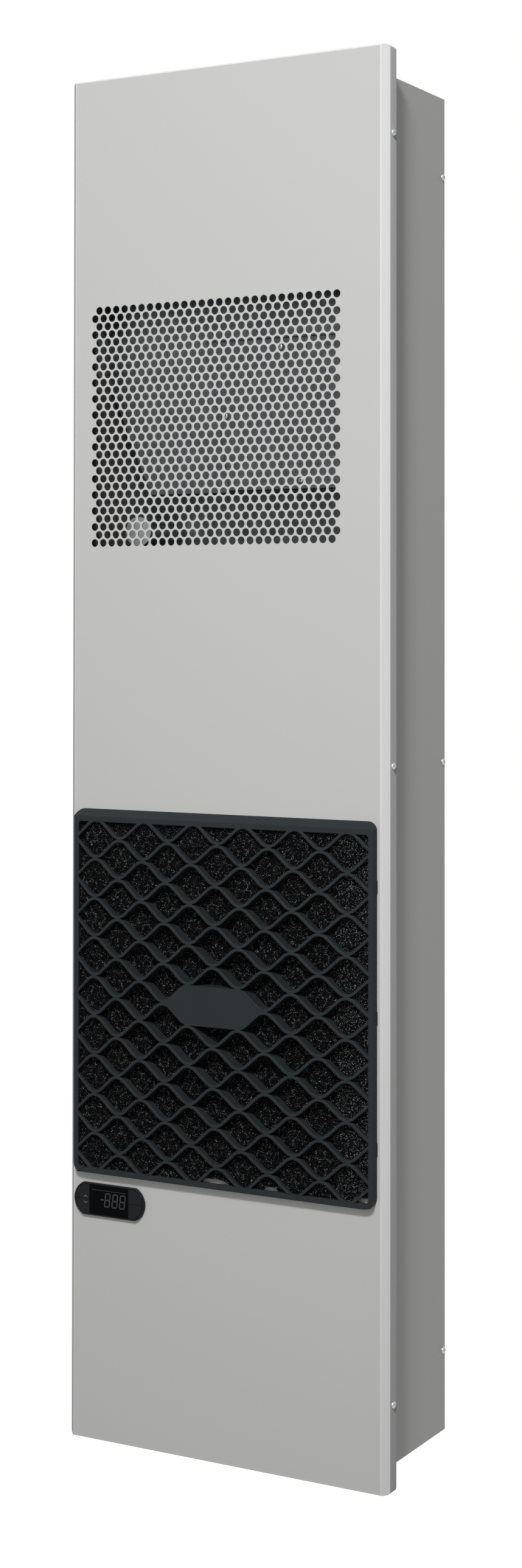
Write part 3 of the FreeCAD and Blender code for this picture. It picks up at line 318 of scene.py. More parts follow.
def filter_foam(tone):
    # Open-cell polyurethane foam, reticulated: a black maze of pores. The light that single struts catch is painted
    # into the colour as pale specks, a painted highlight. Over the holes of the perforated sheet behind, the specks
    # are painted dimmer, as darker rounds of painted shade. Pores of 0.8 mm are drawn at 1 mm.
    material, tree, shader, place = new_finish("reticulated_foam_black", tone, 0.85, specular=0.02)
    sizes = bpy.context.scene.aircon_cover
    glint = tuple(bpy.context.scene.aircon_colours.painted_glint)
    part = add_node(tree, "ShaderNodeSeparateXYZ", {0: place})
    up = add_node(tree, MATH, {0: part.outputs[2], 1: sizes.filter_low}, operation="SUBTRACT")
    rows = add_node(tree, MATH, {0: up, 1: sizes.pitch_z}, operation="DIVIDE")
    row = add_node(tree, MATH, {0: rows}, operation="ROUND")
    odd = add_node(tree, MATH, {0: row, 1: 2.0}, operation="FLOORED_MODULO")
    across = add_node(tree, MATH, {0: part, 1: sizes.field_left}, operation="SUBTRACT")
    steps = add_node(tree, MATH, {0: across, 1: sizes.pitch_x}, operation="DIVIDE")
    columns = add_node(tree, MATH, {0: odd, 1: -0.5, 2: steps}, operation="MULTIPLY_ADD")
    column = add_node(tree, MATH, {0: columns}, operation="ROUND")
    off = add_node(tree, "ShaderNodeCombineXYZ", {
        0: add_node(tree, MATH, {0: columns, 1: column}, operation="SUBTRACT"),
        1: add_node(tree, MATH, {0: rows, 1: row}, operation="SUBTRACT")})
    real = add_node(tree, VECTOR_MATH, {0: off, 1: (sizes.pitch_x, sizes.pitch_z, 0.0)}, operation="MULTIPLY")
    away = add_node(tree, VECTOR_MATH, {0: real}, operation="LENGTH")
    # Over a hole the painted glints keep 0.22 of their brightness, a painted shade with a soft edge from 0.38 to
    # 0.58 of its diameter.
    sheet = add_node(tree, MAP_RANGE, {
        "Value": away.outputs["Value"], "From Min": 0.38 * sizes.hole_diameter,
        "From Max": 0.58 * sizes.hole_diameter, "To Min": 0.22, "To Max": 1.0}, interpolation_type="SMOOTHSTEP")
    plain = add_node(tree, MATH, {0: columns, 1: sizes.columns - 0.5}, operation="GREATER_THAN")
    behind = add_node(tree, MATH, {0: sheet, 1: plain}, operation="MAXIMUM")
    pores = add_node(tree, "ShaderNodeTexVoronoi", {"Vector": place, "Scale": 1 / (1.0 * MM)})
    chance = add_node(tree, "ShaderNodeSeparateColor", {"Color": pores.outputs["Color"]})
    # The power makes bright painted glints rare. A painted glint fades out from 0.18 to 0.48 of a pore.
    lit = add_node(tree, MATH, {0: chance, 1: 3.8}, operation="POWER")
    spot = add_node(tree, MAP_RANGE, {"Value": pores.outputs["Distance"], "From Min": 0.18, "From Max": 0.48,
                                      "To Min": 1.0, "To Max": 0.0})
    painted_glint = add_node(tree, MATH, {0: lit, 1: spot}, operation="MULTIPLY")
    shown = add_node(tree, MATH, {0: painted_glint, 1: behind}, operation="MULTIPLY")
    mix = add_node(tree, MIX, {"Factor": shown, MIX_A: tone, MIX_B: glint}, data_type="RGBA")
    tree.links.new(mix.outputs[MIX_RESULT], shader.inputs["Base Color"])
    grade(tree, shader, pores, depth=0.6 * MM, strength=0.8)
    return material


def smoked_window(tone):
    # Smoked acrylic, cast and polished: near black, smooth, with a faint ripple over about 20 mm.
    return new_finish("smoked_acrylic_polished", tone, 0.12, specular=0.035, layers=[
        (20 * MM, 1.0, {"shades": (0.8, 1.2), "depth": 0.02 * MM})])[0]


def drawn_metal(tone, name, roughness):
    # Drawn or rolled metal: bright, with soft cloudy tarnish of a few centimetres and fine streaks.
    return new_finish(name, tone, roughness, metallic=1.0, layers=[
        (25 * MM, 4.0, {"shades": (0.72, 1.08), "roughness": (roughness - 0.08, roughness + 0.14)}),
        (0.8 * MM, 2.0, {"depth": 0.015 * MM})])[0]


def rubber(tone):
    # EPDM rubber, extruded: dull and slightly dusty, with a fine 1 mm skin texture.
    return new_finish("epdm_rubber_extruded", tone, 0.75, specular=0.25, layers=[
        (14 * MM, 4.0, {"shades": (0.8, 1.5)}),
        (1.0 * MM, 3.0, {"depth": 0.05 * MM})])[0]


def stove_enamel(tone):
    # Stove enamel over pressed steel: glossy black with an orange-peel ripple of about 2.5 mm.
    return new_finish("stove_enamel_black", tone, 0.25, layers=[
        (2.5 * MM, 1.0, {"shades": (0.9, 1.15), "depth": 0.03 * MM})])[0]


def circuit_board(tone):
    # Glass-epoxy board under solder resist: green, with paler copper tracks on a 2.54 mm grid.
    material, tree, shader, place = new_finish("glass_epoxy_board_solder_resist", tone, 0.35)
    tracks = add_node(tree, "ShaderNodeTexBrick", {
        "Vector": place, "Scale": 1 / (5.08 * MM), "Mortar Size": 0.08, "Color1": BLACK, "Color2": BLACK,
        "Mortar": WHITE})
    grade(tree, shader, tracks, tone, shades=(0.9, 1.8), depth=0.04 * MM)
    return material


def printed_ink(tone, name):
    # Screen-printed ink or unlit segments: flat matt grey, a little uneven over 2 mm.
    return new_finish(name, tone, 0.6, specular=0.2, layers=[(2 * MM, 2.0, {"shades": (0.85, 1.15)})])[0]


# What makes each slot's finish: a function, the name of its colour, and its other values
MAKERS = {
    "grey_powder_coat": (powder_coat, "paint"),
    "galvanised_sheet": (galvanised_sheet, "zinc"),
    "zinc_steel": (plated_steel, "steel"),
    "anthracite_plastic": (moulded_plastic, "grille", "abs_anthracite_moulded",
                           0.27, 0.9 * MM, 0.015 * MM, 0.055, 1.8 * MM),
    "filter_foam": (filter_foam, "foam"),
    "black_rubber": (rubber, "rubber"),
    "black_plastic": (moulded_plastic, "plastic", "polycarbonate_black_moulded",
                      0.40, 0.8 * MM, 0.03 * MM, 0.06, 0.6 * MM),
    "smoked_window": (smoked_window, "window"),
    "circuit_board": (circuit_board, "board"),
    "black_paint": (stove_enamel, "enamel"),
    "aluminium": (drawn_metal, "aluminium", "aluminium_rolled", 0.35),
    "copper": (drawn_metal, "copper", "copper_tube_drawn", 0.3),
    "grey_plastic": (moulded_plastic, "polymer", "polypropylene_grey_moulded",
                     0.5, 1.2 * MM, 0.04 * MM, 0.4, 0.8 * MM),
    "segment_ink": (printed_ink, "segment", "display_segment_unlit"),
    "mark_ink": (printed_ink, "mark", "screen_print_grey"),
}
FINISHES = {}


def finish(slot):
    """The finish of a material slot or an ink, made once."""
    if slot not in FINISHES:
        maker, tone, *values = MAKERS[slot]
        FINISHES[slot] = maker(tuple(getattr(bpy.context.scene.aircon_colours, tone)), *values)
    return FINISHES[slot]


# Shared making

def new_piece(name, mesh):
    """Object at the origin with a mesh."""
    piece = bpy.data.objects.new(name, mesh)
    bpy.context.scene.collection.objects.link(piece)
    return piece


def mesh_of(name, build):
    """Mesh with what a builder function puts into a bmesh."""
    work = bmesh.new()
    build(work)
    mesh = bpy.data.meshes.new(name)
    work.to_mesh(mesh)
    work.free()
    return mesh


def settle(piece):
    """Turns a piece's modifiers into a plain mesh."""
    bpy.context.view_layer.update()
    depsgraph = bpy.context.evaluated_depsgraph_get()
    mesh = bpy.data.meshes.new_from_object(piece.evaluated_get(depsgraph))
    if not mesh.polygons:
        raise RuntimeError(piece.name + " came out empty")
    mesh.name = piece.name
    old = piece.data
    piece.modifiers.clear()
    piece.data = mesh
    bpy.data.meshes.remove(old)
    return piece


def run_tree(piece, tree, values):
    """Runs a geometry tree on a piece and keeps the result as its mesh."""
    modifier = piece.modifiers.new("Geometry", "NODES")
    modifier.node_group = tree
    for item in tree.interface.items_tree:
        if item.in_out == "INPUT" and item.name in values:
            modifier[item.identifier] = values[item.name]
    return settle(piece)


def new_tree(name, inputs):
    """Geometry tree with named inputs; returns it with its input sockets."""
    tree = bpy.data.node_groups.new(name, "GeometryNodeTree")
    tree.interface.new_socket(name="Geometry", in_out="OUTPUT", socket_type="NodeSocketGeometry")
    for label, kind in inputs.items():
        tree.interface.new_socket(name=label, in_out="INPUT", socket_type="NodeSocket" + kind)
    return tree, add_node(tree, "NodeGroupInput").outputs


def close_tree(tree, geometry, material):
    """Ends a tree in Realize Instances and Set Material."""
    real = add_node(tree, "GeometryNodeRealizeInstances", {"Geometry": geometry})
    coated = add_node(tree, "GeometryNodeSetMaterial", {"Geometry": real, "Material": material})
    add_node(tree, "NodeGroupOutput", {0: coated})


def carry(piece, body, slot, *nodes):
    """Puts a finished piece on its body, and in the place of CAD nodes."""
    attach(piece, body)
    if nodes:
        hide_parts(*nodes)


def join_rings(work, rings):
    """Faces from each ring of points to the next; a ring may be a single point."""
    for ring, following in zip(rings, rings[1:]):
        for step in range(max(len(ring), len(following))):
            corners = [ring[step % len(ring)], following[step % len(following)],
                       following[(step + 1) % len(following)], ring[(step + 1) % len(ring)]]
            work.faces.new(list(dict.fromkeys(corners)))


def rounded_copy(node, name, edge, slot, border=None, reshape=None, warp=None, cuts=()):
    """Copy of a CAD node with its sharp edges rounded as a mould leaves them.
    border, if given, is a wider radius and a test for the edges that get it first.
    reshape moves the points before that. Afterwards cuts, (point, normal) planes, divide the faces for warp."""
    work = bmesh.new()
    work.from_mesh(frame["nodes"][node].data)
    bmesh.ops.remove_doubles(work, verts=work.verts, dist=MERGE)
    if reshape:
        for vert in work.verts:
            vert.co = reshape(vert.co)
    bmesh.ops.dissolve_limit(work, angle_limit=FLAT_ANGLE, verts=work.verts, edges=work.edges)
    passes = [(edge, EDGE_STEPS, lambda e: True)]
    if border:
        passes.insert(0, (border[0], BORDER_STEPS, border[1]))
    for radius, steps, chosen in passes:
        sharp = [e for e in work.edges if e.is_manifold and e.calc_face_angle() > BEVEL_ANGLE and chosen(e)]
        bmesh.ops.bevel(work, geom=sharp, offset=radius, segments=steps, profile=0.5, affect="EDGES",
                        clamp_overlap=True)
    for point, normal in cuts:
        whole = work.verts[:] + work.edges[:] + work.faces[:]
        bmesh.ops.bisect_plane(work, geom=whole, dist=WELD, plane_co=point, plane_no=normal)
    if warp:
        for vert in work.verts:
            vert.co = warp(vert.co)
    bmesh.ops.triangulate(work, faces=work.faces)
    mesh = bpy.data.meshes.new(name)
    work.to_mesh(mesh)
    work.free()
    mesh.materials.append(finish(slot))
    mesh.shade_smooth()
    mesh.set_sharp_from_angle(angle=SMOOTH_ANGLE)
    piece = new_piece(name, mesh)
    flat = piece.modifiers.new("Flat faces", "WEIGHTED_NORMAL")
    flat.mode = "FACE_AREA"
    flat.weight = 90
    flat.keep_sharp = True
    return settle(piece)


def on_points(name, template, places, slot):
    """Copies of a template mesh at (place, turn) pairs, made by a geometry tree."""
    tree, given = new_tree(name, {"Geometry": "Geometry", "Template": "Object", "Finish": "Material"})
    shape = add_node(tree, "GeometryNodeObjectInfo", {"Object": given["Template"]})
    turn = add_node(tree, "GeometryNodeInputNamedAttribute", {"Name": "turn"}, data_type="FLOAT_VECTOR")
    rotation = add_node(tree, "FunctionNodeEulerToRotation", {0: turn})
    spread = add_node(tree, "GeometryNodeInstanceOnPoints", {
        "Points": given["Geometry"], "Instance": shape.outputs["Geometry"], "Rotation": rotation})
    close_tree(tree, spread, given["Finish"])
    points = bpy.data.meshes.new(name)
    points.from_pydata([place for place, _ in places], [], [])
    turns = points.attributes.new("turn", "FLOAT_VECTOR", "POINT")
    turns.data.foreach_set("vector", [value for _, angles in places for value in angles])
    source = new_piece(name + "_template", template)
    piece = run_tree(new_piece(name, points), tree, {"Template": source, "Finish": finish(slot)})
    bpy.data.objects.remove(source)
    piece.data.shade_smooth()
    piece.data.set_sharp_from_angle(angle=SMOOTH_ANGLE)
    return piece


# Front cover

OUTLET_SIDES, FILTER_SIDES = 18, 8  # sides of a hole; those behind the filter hardly show
BEND_STEPS, CORNER_STEPS = 5, 6  # facets of a bend, and of a corner of the outline
FOLD_ANGLE = math.radians(25)  # bends of the sheet that turn further than this are shaded sharp
CUT_PLAY = 0.5 * MM  # clearance round what goes through the cover


def hole_tile(name, pitch_x, pitch_z, radius, sides):
    """One pitch of sheet with its hole, in the XY plane; its edges meet those of the shifted rows."""
    border = [(0.5, -0.5), (0.5, 0.5), (0.0, 0.5), (-0.5, 0.5), (-0.5, -0.5), (0.0, -0.5)]
    outer = sorted((math.atan2(y * pitch_z, x * pitch_x), x * pitch_x, y * pitch_z) for x, y in border)
    turns = [math.tau * (step + 0.5) / sides - math.pi for step in range(sides)]
    inner = [(turn, radius * math.cos(turn), radius * math.sin(turn)) for turn in turns]

    def build(work):
        rims = [[work.verts.new((x, y, 0.0)) for _, x, y in rim] for rim in (outer, inner)]
        edges = []
        for which, rim in enumerate((outer, inner)):
            for index, (turn, _, _) in enumerate(rim):
                before = rim[index - 1][0] - (0.0 if index else math.tau)
                edges.append(((before + turn) / 2, which, index))
        last = [-1, -1]
        for _, which, index in sorted(edges):
            rim, other = rims[which], rims[1 - which]
            corners = (rim[index - 1], rim[index], other[last[1 - which]])
            work.faces.new(corners[::-1] if which else corners)
            last[which] = index

    return mesh_of(name, build)


def hole_field():
    """Geometry tree of a staggered field of tiles in the XY plane."""
    tree, given = new_tree("staggered tiles", {
        "Tile": "Object", "Columns": "Int", "Rows": "Int", "Pitch across": "Float", "Pitch up": "Float",
        "Left": "Float", "Low": "Float"})
    count = add_node(tree, MATH, {0: given["Columns"], 1: given["Rows"]}, operation="MULTIPLY")
    index = add_node(tree, "GeometryNodeInputIndex")
    share = add_node(tree, MATH, {0: index, 1: given["Columns"]}, operation="DIVIDE")
    row = add_node(tree, MATH, {0: share}, operation="FLOOR")
    column = add_node(tree, MATH, {0: index, 1: given["Columns"]}, operation="FLOORED_MODULO")
    odd = add_node(tree, MATH, {0: row, 1: 2.0}, operation="FLOORED_MODULO")
    steps = add_node(tree, MATH, {0: odd, 1: 0.5, 2: column}, operation="MULTIPLY_ADD")
    across = add_node(tree, MATH, {0: steps, 1: given["Pitch across"], 2: given["Left"]}, operation="MULTIPLY_ADD")
    up = add_node(tree, MATH, {0: row, 1: given["Pitch up"], 2: given["Low"]}, operation="MULTIPLY_ADD")
    place = add_node(tree, "ShaderNodeCombineXYZ", {0: across, 1: up})
    points = add_node(tree, "GeometryNodePoints", {"Count": count, "Position": place})
    tile = add_node(tree, "GeometryNodeObjectInfo", {"Object": given["Tile"]})
    spread = add_node(tree, "GeometryNodeInstanceOnPoints", {
        "Points": points, "Instance": tile.outputs["Geometry"]})
    add_node(tree, "NodeGroupOutput", {0: spread})
    return tree


def perforated_panel():
    """Geometry tree that fills the outline and cut-outs given as edges, and sets two fields of tiles into them."""
    tree, given = new_tree("perforated panel", {
        "Geometry": "Geometry", "Outlet tile": "Object", "Filter tile": "Object", "Columns": "Int",
        "Pitch across": "Float", "Pitch up": "Float", "Left": "Float", "Outlet rows": "Int",
        "Outlet low": "Float", "Filter rows": "Int", "Filter low": "Float", "Face": "Float",
        "Finish": "Material"})
    field = hole_field()
    loops = add_node(tree, "GeometryNodeMeshToCurve", {"Mesh": given["Geometry"]})
    plain = add_node(tree, "GeometryNodeFillCurve", {"Curve": loops}, mode="TRIANGLES")
    joined = add_node(tree, "GeometryNodeJoinGeometry", {0: plain})
    for name in ("Outlet", "Filter"):
        group = add_node(tree, "GeometryNodeGroup", node_tree=field)
        for label in ("Columns", "Pitch across", "Pitch up", "Left"):
            tree.links.new(given[label], group.inputs[label])
        for label in ("tile", "rows", "low"):
            tree.links.new(given[name + " " + label], group.inputs[label.capitalize()])
        tree.links.new(group.outputs[0], joined.inputs[0])
    forward = add_node(tree, "ShaderNodeCombineXYZ", {1: given["Face"]})
    upright = add_node(tree, "GeometryNodeTransform", {
        "Geometry": joined, "Translation": forward, "Rotation": (QUARTER, 0.0, 0.0)})
    close_tree(tree, upright, given["Finish"])
    return tree


def fold_levels(sizes, face, half, top):
    """(y, half-width, half-height) of the cover's skin, from the face back to its rear edge."""
    side, end, bevel = sizes.side_bend, sizes.end_bend, sizes.bevel
    reach = side * math.tan(math.pi / 8)
    first_end = face + reach * math.sin(math.pi / 4)
    second_start = face + bevel - reach * math.cos(math.pi / 4)
    second_end = face + bevel + reach
    levels = {face, first_end, second_start, second_end, 0.0}
    for step in range(1, BEND_STEPS + 1):
        turn = math.pi / 4 * step / BEND_STEPS
        levels.add(face + side * (1 - math.cos(turn)))
        levels.add(second_end - side * math.sin(turn))
        levels.add(face + end * (1 - math.cos(2 * turn)))
    rows = []
    for y in sorted(levels):
        if y <= first_end:
            width = half - bevel - reach + math.sqrt(max(0.0, side ** 2 - (y - face - side) ** 2))
        elif y < second_start:
            width = half - bevel + (y - face)
        elif y < second_end:
            width = half - side + math.sqrt(max(0.0, side ** 2 - (y - second_end) ** 2))
        else:
            width = half
        height = top
        if y < face + end:
            height = top - end + math.sqrt(max(0.0, end ** 2 - (y - face - end) ** 2))
        rows.append((y, width, height))
    return rows


def cover_ring(width, height, half, top, corner):
    """Points of one level of the skin, each corner cut by the outline's radius."""
    centre_x, centre_z = half - corner, top - corner
    arc = [(width, height)] * (CORNER_STEPS + 1)
    if width > centre_x and height > centre_z:
        first = math.acos(min(1.0, (width - centre_x) / corner))
        last = math.asin(min(1.0, (height - centre_z) / corner))
        if first <= last:
            turns = [first + (last - first) * step / CORNER_STEPS for step in range(CORNER_STEPS + 1)]
            arc = [(centre_x + corner * math.cos(turn), centre_z + corner * math.sin(turn)) for turn in turns]
    ring = arc + [(-x, z) for x, z in reversed(arc)]
    return ring + [(x, -z) for x, z in reversed(ring)]


def loop(work, corners):
    """Closed loop of edges in the XY plane, for the panel's tree."""
    verts = [work.verts.new((x, z, 0.0)) for x, z in corners]
    for index in range(len(verts)):
        work.edges.new((verts[index - 1], verts[index]))


def rectangle(work, x0, x1, z0, z1, play=0.0):
    """Loop round a rectangle, with some clearance."""
    x0, x1, z0, z1 = x0 - play, x1 + play, z0 - play, z1 + play
    loop(work, [(x0, z0), (x1, z0), (x1, z1), (x0, z1)])


def field_border(work, sizes, rows, low):
    """Stepped border of a staggered field, with a point at each corner of its tiles."""
    half_x, half_z = sizes.pitch_x / 2, sizes.pitch_z / 2
    starts = [sizes.field_left + (row % 2 - 1) * half_x for row in range(rows)]
    levels = [low + row * sizes.pitch_z for row in range(rows)]
    span = sizes.columns * sizes.pitch_x
    steps = range(2 * sizes.columns + 1)
    points = [(starts[0] + step * half_x, low - half_z) for step in steps]
    for start, level in zip(starts, levels):
        points += [(start + span, level - half_z), (start + span, level + half_z)]
    points += [(starts[-1] + span - step * half_x, levels[-1] + half_z) for step in steps]
    for start, level in zip(reversed(starts), reversed(levels)):
        points += [(start, level + half_z), (start, level - half_z)]
    kept = [point for before, point in zip(points[-1:] + points, points) if math.dist(before, point) > SLACK]
    loop(work, kept)


def keep_face_flat(mesh, face, width, height):
    """Marks the face's border sharp, so that the bends don't shade the flat sheet."""
    sharp = mesh.attributes.get("sharp_edge") or mesh.attributes.new("sharp_edge", "BOOLEAN", "EDGE")
    for edge in mesh.edges:
        ends = [mesh.vertices[index].co for index in edge.vertices]
        flat = all(abs(end.y - face) < SLACK for end in ends)
        upright = all(abs(abs(end.x) - width) < SLACK for end in ends)
        level = all(abs(abs(end.z) - height) < SLACK for end in ends)
        if flat and (upright or level):
            sharp.data[edge.index].value = True


class AIRCON_OT_front_cover(bpy.types.Operator):
    """Folded front cover with its perforated fields"""
    bl_idname = "aircon.front_cover"
    bl_label = "Front cover"

    def execute(self, context):
        sizes = context.scene.aircon_cover
        low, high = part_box("front_cover")
        half, top, face = high.x, high.z, low.y
        rows = fold_levels(sizes, face, half, top)
        _, width, height = rows[0]

        def loops(work):
            rectangle(work, -width, width, -height, height)
            field_border(work, sizes, sizes.outlet_rows, sizes.outlet_low)
            field_border(work, sizes, sizes.filter_rows, sizes.filter_low)
            case_low, case_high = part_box("controller_case")
            rectangle(work, case_low.x, case_high.x, case_low.z, case_high.z, CUT_PLAY)
            clips = frame["nodes"]["grille_clips"].data.vertices
            for side in (-1, 1):
                levels = sorted({round(v.co.z, 5) for v in clips if v.co.x * side > 0})
                across = [v.co.x for v in clips if v.co.x * side > 0]
                for lower, upper in zip(levels[::2], levels[1::2]):
                    rectangle(work, min(across), max(across), lower, upper, CUT_PLAY)

        tiles = []
        for name, sides in (("outlet_tile", OUTLET_SIDES), ("filter_tile", FILTER_SIDES)):
            tile = hole_tile(name, sizes.pitch_x, sizes.pitch_z, sizes.hole_diameter / 2, sides)
            tiles.append(new_piece(name, tile))
        panel = run_tree(new_piece("front_cover_sheet", mesh_of("front_cover_sheet", loops)), perforated_panel(), {
            "Outlet tile": tiles[0], "Filter tile": tiles[1], "Columns": sizes.columns,
            "Pitch across": sizes.pitch_x, "Pitch up": sizes.pitch_z, "Left": sizes.field_left,
            "Outlet rows": sizes.outlet_rows, "Outlet low": sizes.outlet_low, "Filter rows": sizes.filter_rows,
            "Filter low": sizes.filter_low, "Face": face, "Finish": finish("grey_powder_coat")})
        for tile in tiles:
            bpy.data.objects.remove(tile)
        work = bmesh.new()
        work.from_mesh(panel.data)
        join_rings(work, [[work.verts.new((x, y, z)) for x, z in cover_ring(*size, half, top, sizes.corner)]
                          for y, *size in rows])
        bmesh.ops.remove_doubles(work, verts=work.verts, dist=WELD)
        bmesh.ops.dissolve_degenerate(work, edges=work.edges, dist=WELD)
        bmesh.ops.recalc_face_normals(work, faces=work.faces)
        work.to_mesh(panel.data)
        work.free()
        if panel.data.polygons[0].normal.y > 0:
            panel.data.flip_normals()
        wall = panel.modifiers.new("Sheet", "SOLIDIFY")
        wall.thickness = sizes.sheet
        wall.offset = -1.0
        wall.use_even_offset = True
        settle(panel)
        panel.data.shade_smooth()
        panel.data.set_sharp_from_angle(angle=FOLD_ANGLE)
        keep_face_flat(panel.data, face, width, height)
        carry(panel, UNIT, "grey_powder_coat", "front_cover")
        return {"FINISHED"}


# Grille and filter

CORNER_CUTS = range(0, 90, 15)  # degrees round a rounded corner at which its faces are divided
FOAM_PORE, FOAM_SEED = 6 * MM, 7
# Places across, widths and heights in millimetres where the mat's lower edge hangs short of the frame
SHORT_EDGE = ((-8, 24, 11.4), (64, 12, 10.8), (178, 14, 12.0))
EDGE_REACH = 40 * MM  # how far up the mat that pulls its points


class AIRCON_OT_filter_grille(bpy.types.Operator):
    """Wave grille with its moulded edges rounded"""
    bl_idname = "aircon.filter_grille"
    bl_label = "Filter grille"

    def execute(self, context):
        sizes = context.scene.aircon_grille
        low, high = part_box("filter_grille")
        reach = sizes.frame_slope + MM

        def on_border(edge):
            outside = [abs(v.co.x) > high.x - MM or v.co.z > high.z - reach or v.co.z < low.z + reach
                       for v in edge.verts]
            return all(outside) and all(v.co.y < high.y - MM for v in edge.verts)

        rim_low = low.z + sizes.frame_slope
        bend = Vector((high.x - sizes.corner, 0.0, rim_low - sizes.bottom_slope + sizes.corner))

        def drafted(point):
            x, y, z = point
            if z < rim_low:
                z = rim_low - (rim_low - z) * sizes.bottom_slope / sizes.frame_slope
            if x < low.x + sizes.frame_slope:
                x += sizes.left_draft * min(1.0, (high.y - y) / sizes.rim_depth)
            return Vector((x, y, z))

        def round_corner(point):
            u = (abs(point.x) - bend.x) / sizes.corner
            v = (bend.z - point.z) / sizes.corner
            if u <= 0 or v <= 0:
                return point
            u, v = u * math.sqrt(1 - v * v / 2), v * math.sqrt(1 - u * u / 2)
            return Vector((math.copysign(bend.x + u * sizes.corner, point.x), point.y, bend.z - v * sizes.corner))

        cuts = []
        for degrees in CORNER_CUTS:
            step = sizes.corner * math.sin(math.radians(degrees))
            cuts.append(((0.0, 0.0, bend.z - step), (0.0, 0.0, 1.0)))
            cuts += [((side * (bend.x + step), 0.0, 0.0), (1.0, 0.0, 0.0)) for side in (-1, 1)]
        grille = rounded_copy("filter_grille", "wave_grille", sizes.edge, "anthracite_plastic",
                              (sizes.frame_edge, on_border), drafted, round_corner, cuts)
        carry(grille, GRILLE, "anthracite_plastic", "filter_grille")
        return {"FINISHED"}


def foam_tree():
    """Geometry tree of a foam slab whose surface is broken up by pores."""
    tree, given = new_tree("foam mat", {
        "Size": "Vector", "Centre": "Vector", "Across": "Int", "Up": "Int", "Pore depth": "Float",
        "Pore": "Float", "Seed": "Int", "Finish": "Material"})
    slab = add_node(tree, "GeometryNodeMeshCube", {
        "Size": given["Size"], "Vertices X": given["Across"], "Vertices Y": 3, "Vertices Z": given["Up"]})
    scale = add_node(tree, MATH, {0: 1.0, 1: given["Pore"]}, operation="DIVIDE")
    noise = add_node(tree, "ShaderNodeTexNoise", {"Scale": scale, "Detail": 2.0})
    chance = add_node(tree, "FunctionNodeRandomValue", {"Seed": given["Seed"]}, data_type="FLOAT")
    both = add_node(tree, MATH, {0: noise, 1: chance.outputs[1]}, operation="ADD")
    mean = add_node(tree, MATH, {0: both, 1: -0.5}, operation="MULTIPLY")
    sink = add_node(tree, MATH, {0: mean, 1: given["Pore depth"]}, operation="MULTIPLY")
    normal = add_node(tree, "GeometryNodeInputNormal")
    offset = add_node(tree, VECTOR_MATH, {0: normal, "Scale": sink}, operation="SCALE")
    rough = add_node(tree, "GeometryNodeSetPosition", {"Geometry": slab, "Offset": offset})
    placed = add_node(tree, "GeometryNodeTransform", {"Geometry": rough, "Translation": given["Centre"]})
    close_tree(tree, placed, given["Finish"])
    return tree


class AIRCON_OT_filter_mat(bpy.types.Operator):
    """Foam filter mat behind the grille"""
    bl_idname = "aircon.filter_mat"
    bl_label = "Filter mat"

    def execute(self, context):
        sizes = context.scene.aircon_grille
        low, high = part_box("filter_mat")
        span = high - low

        def short(x):
            return max(rise * MM * math.exp(-((x / MM - place) / reach) ** 4) for place, reach, rise in SHORT_EDGE)

        mat = run_tree(new_piece("filter_foam", bpy.data.meshes.new("filter_foam")), foam_tree(), {
            "Size": tuple(span), "Centre": tuple((low + high) / 2), "Across": round(span.x / sizes.foam_step),
            "Up": round(span.z / sizes.foam_step), "Pore depth": sizes.foam_rough,
            "Pore": FOAM_PORE, "Seed": FOAM_SEED, "Finish": finish("filter_foam")})
        for vert in mat.data.vertices:
            near = max(0.0, 1.0 - (vert.co.z - low.z) / EDGE_REACH)
            vert.co.z += near * short(vert.co.x)
        carry(mat, GRILLE, "filter_foam", "filter_mat")
        return {"FINISHED"}


# Screws and studs

# Outline of a screw from the top down: shares of the head's radius and height, then of the shank's radius and length
HEAD_SHARES = ((0, 1), (0.35, 0.985), (0.62, 0.88), (0.84, 0.66), (0.96, 0.4), (1, 0.16), (1, 0))
SHANK_SHARES = ((1, 0), (1, -0.85), (0.6, -1), (0, -1))
SCREW_SIDES = 20
# Cross recess: length and width as shares of the head's radius, and level as a share of its height
RECESS_MOUTH, RECESS_FLOOR = (1.12, 0.17, 1.3), (0.60, 0.119, 0.35)
FIRST_SPIN, SPIN_STEP = 0.4, 0.7  # turn of the first screw's recess, and from each screw to the next, in radians
STUD_SIDES, RINGS_PER_TURN = 18, 4
CHAMFER, TIP = 1.2, 0.25  # length of a stud's chamfered end in pitches, and the share of the thread left at its tip
FLANK = 2.4  # steepness of the thread's flanks


def revolve(work, profile, sides):
    """Closed solid from a profile of (radius, height) points, which starts and ends on the axis."""
    turns = [math.tau * step / sides for step in range(sides)]
    rings = []
    for radius, height in profile:
        spokes = turns if radius else [0.0]
        rings.append([work.verts.new((radius * math.cos(t), radius * math.sin(t), height)) for t in spokes])
    join_rings(work, rings)
    bmesh.ops.recalc_face_normals(work, faces=work.faces)


def pan_head_screw(sizes):
    """Pan-head screw along Z with a cross recess, its head above zero."""
    radius, height = sizes.head_radius, sizes.head_height
    profile = [(a * radius, b * height) for a, b in HEAD_SHARES]
    profile += [(a * sizes.shank_radius, b * sizes.shank_length) for a, b in SHANK_SHARES]
    head = new_piece("screw_blank", mesh_of("screw_blank", lambda work: revolve(work, profile, SCREW_SIDES)))

    def cross(work):
        for long_x in (True, False):
            for corner in bmesh.ops.create_cube(work, size=1.0)["verts"]:
                along, wide, level = RECESS_FLOOR if corner.co.z < 0 else RECESS_MOUTH
                x, y = (along, wide) if long_x else (wide, along)
                corner.co = Vector((corner.co.x * x * radius, corner.co.y * y * radius, level * height))

    tool = new_piece("screw_recess", mesh_of("screw_recess", cross))
    cut = head.modifiers.new("Recess", "BOOLEAN")
    cut.object = tool
    cut.operation = "DIFFERENCE"
    cut.solver = "EXACT"
    cut.use_self = True
    mesh = settle(head).data.copy()
    bpy.data.objects.remove(head)
    bpy.data.objects.remove(tool)
    return mesh


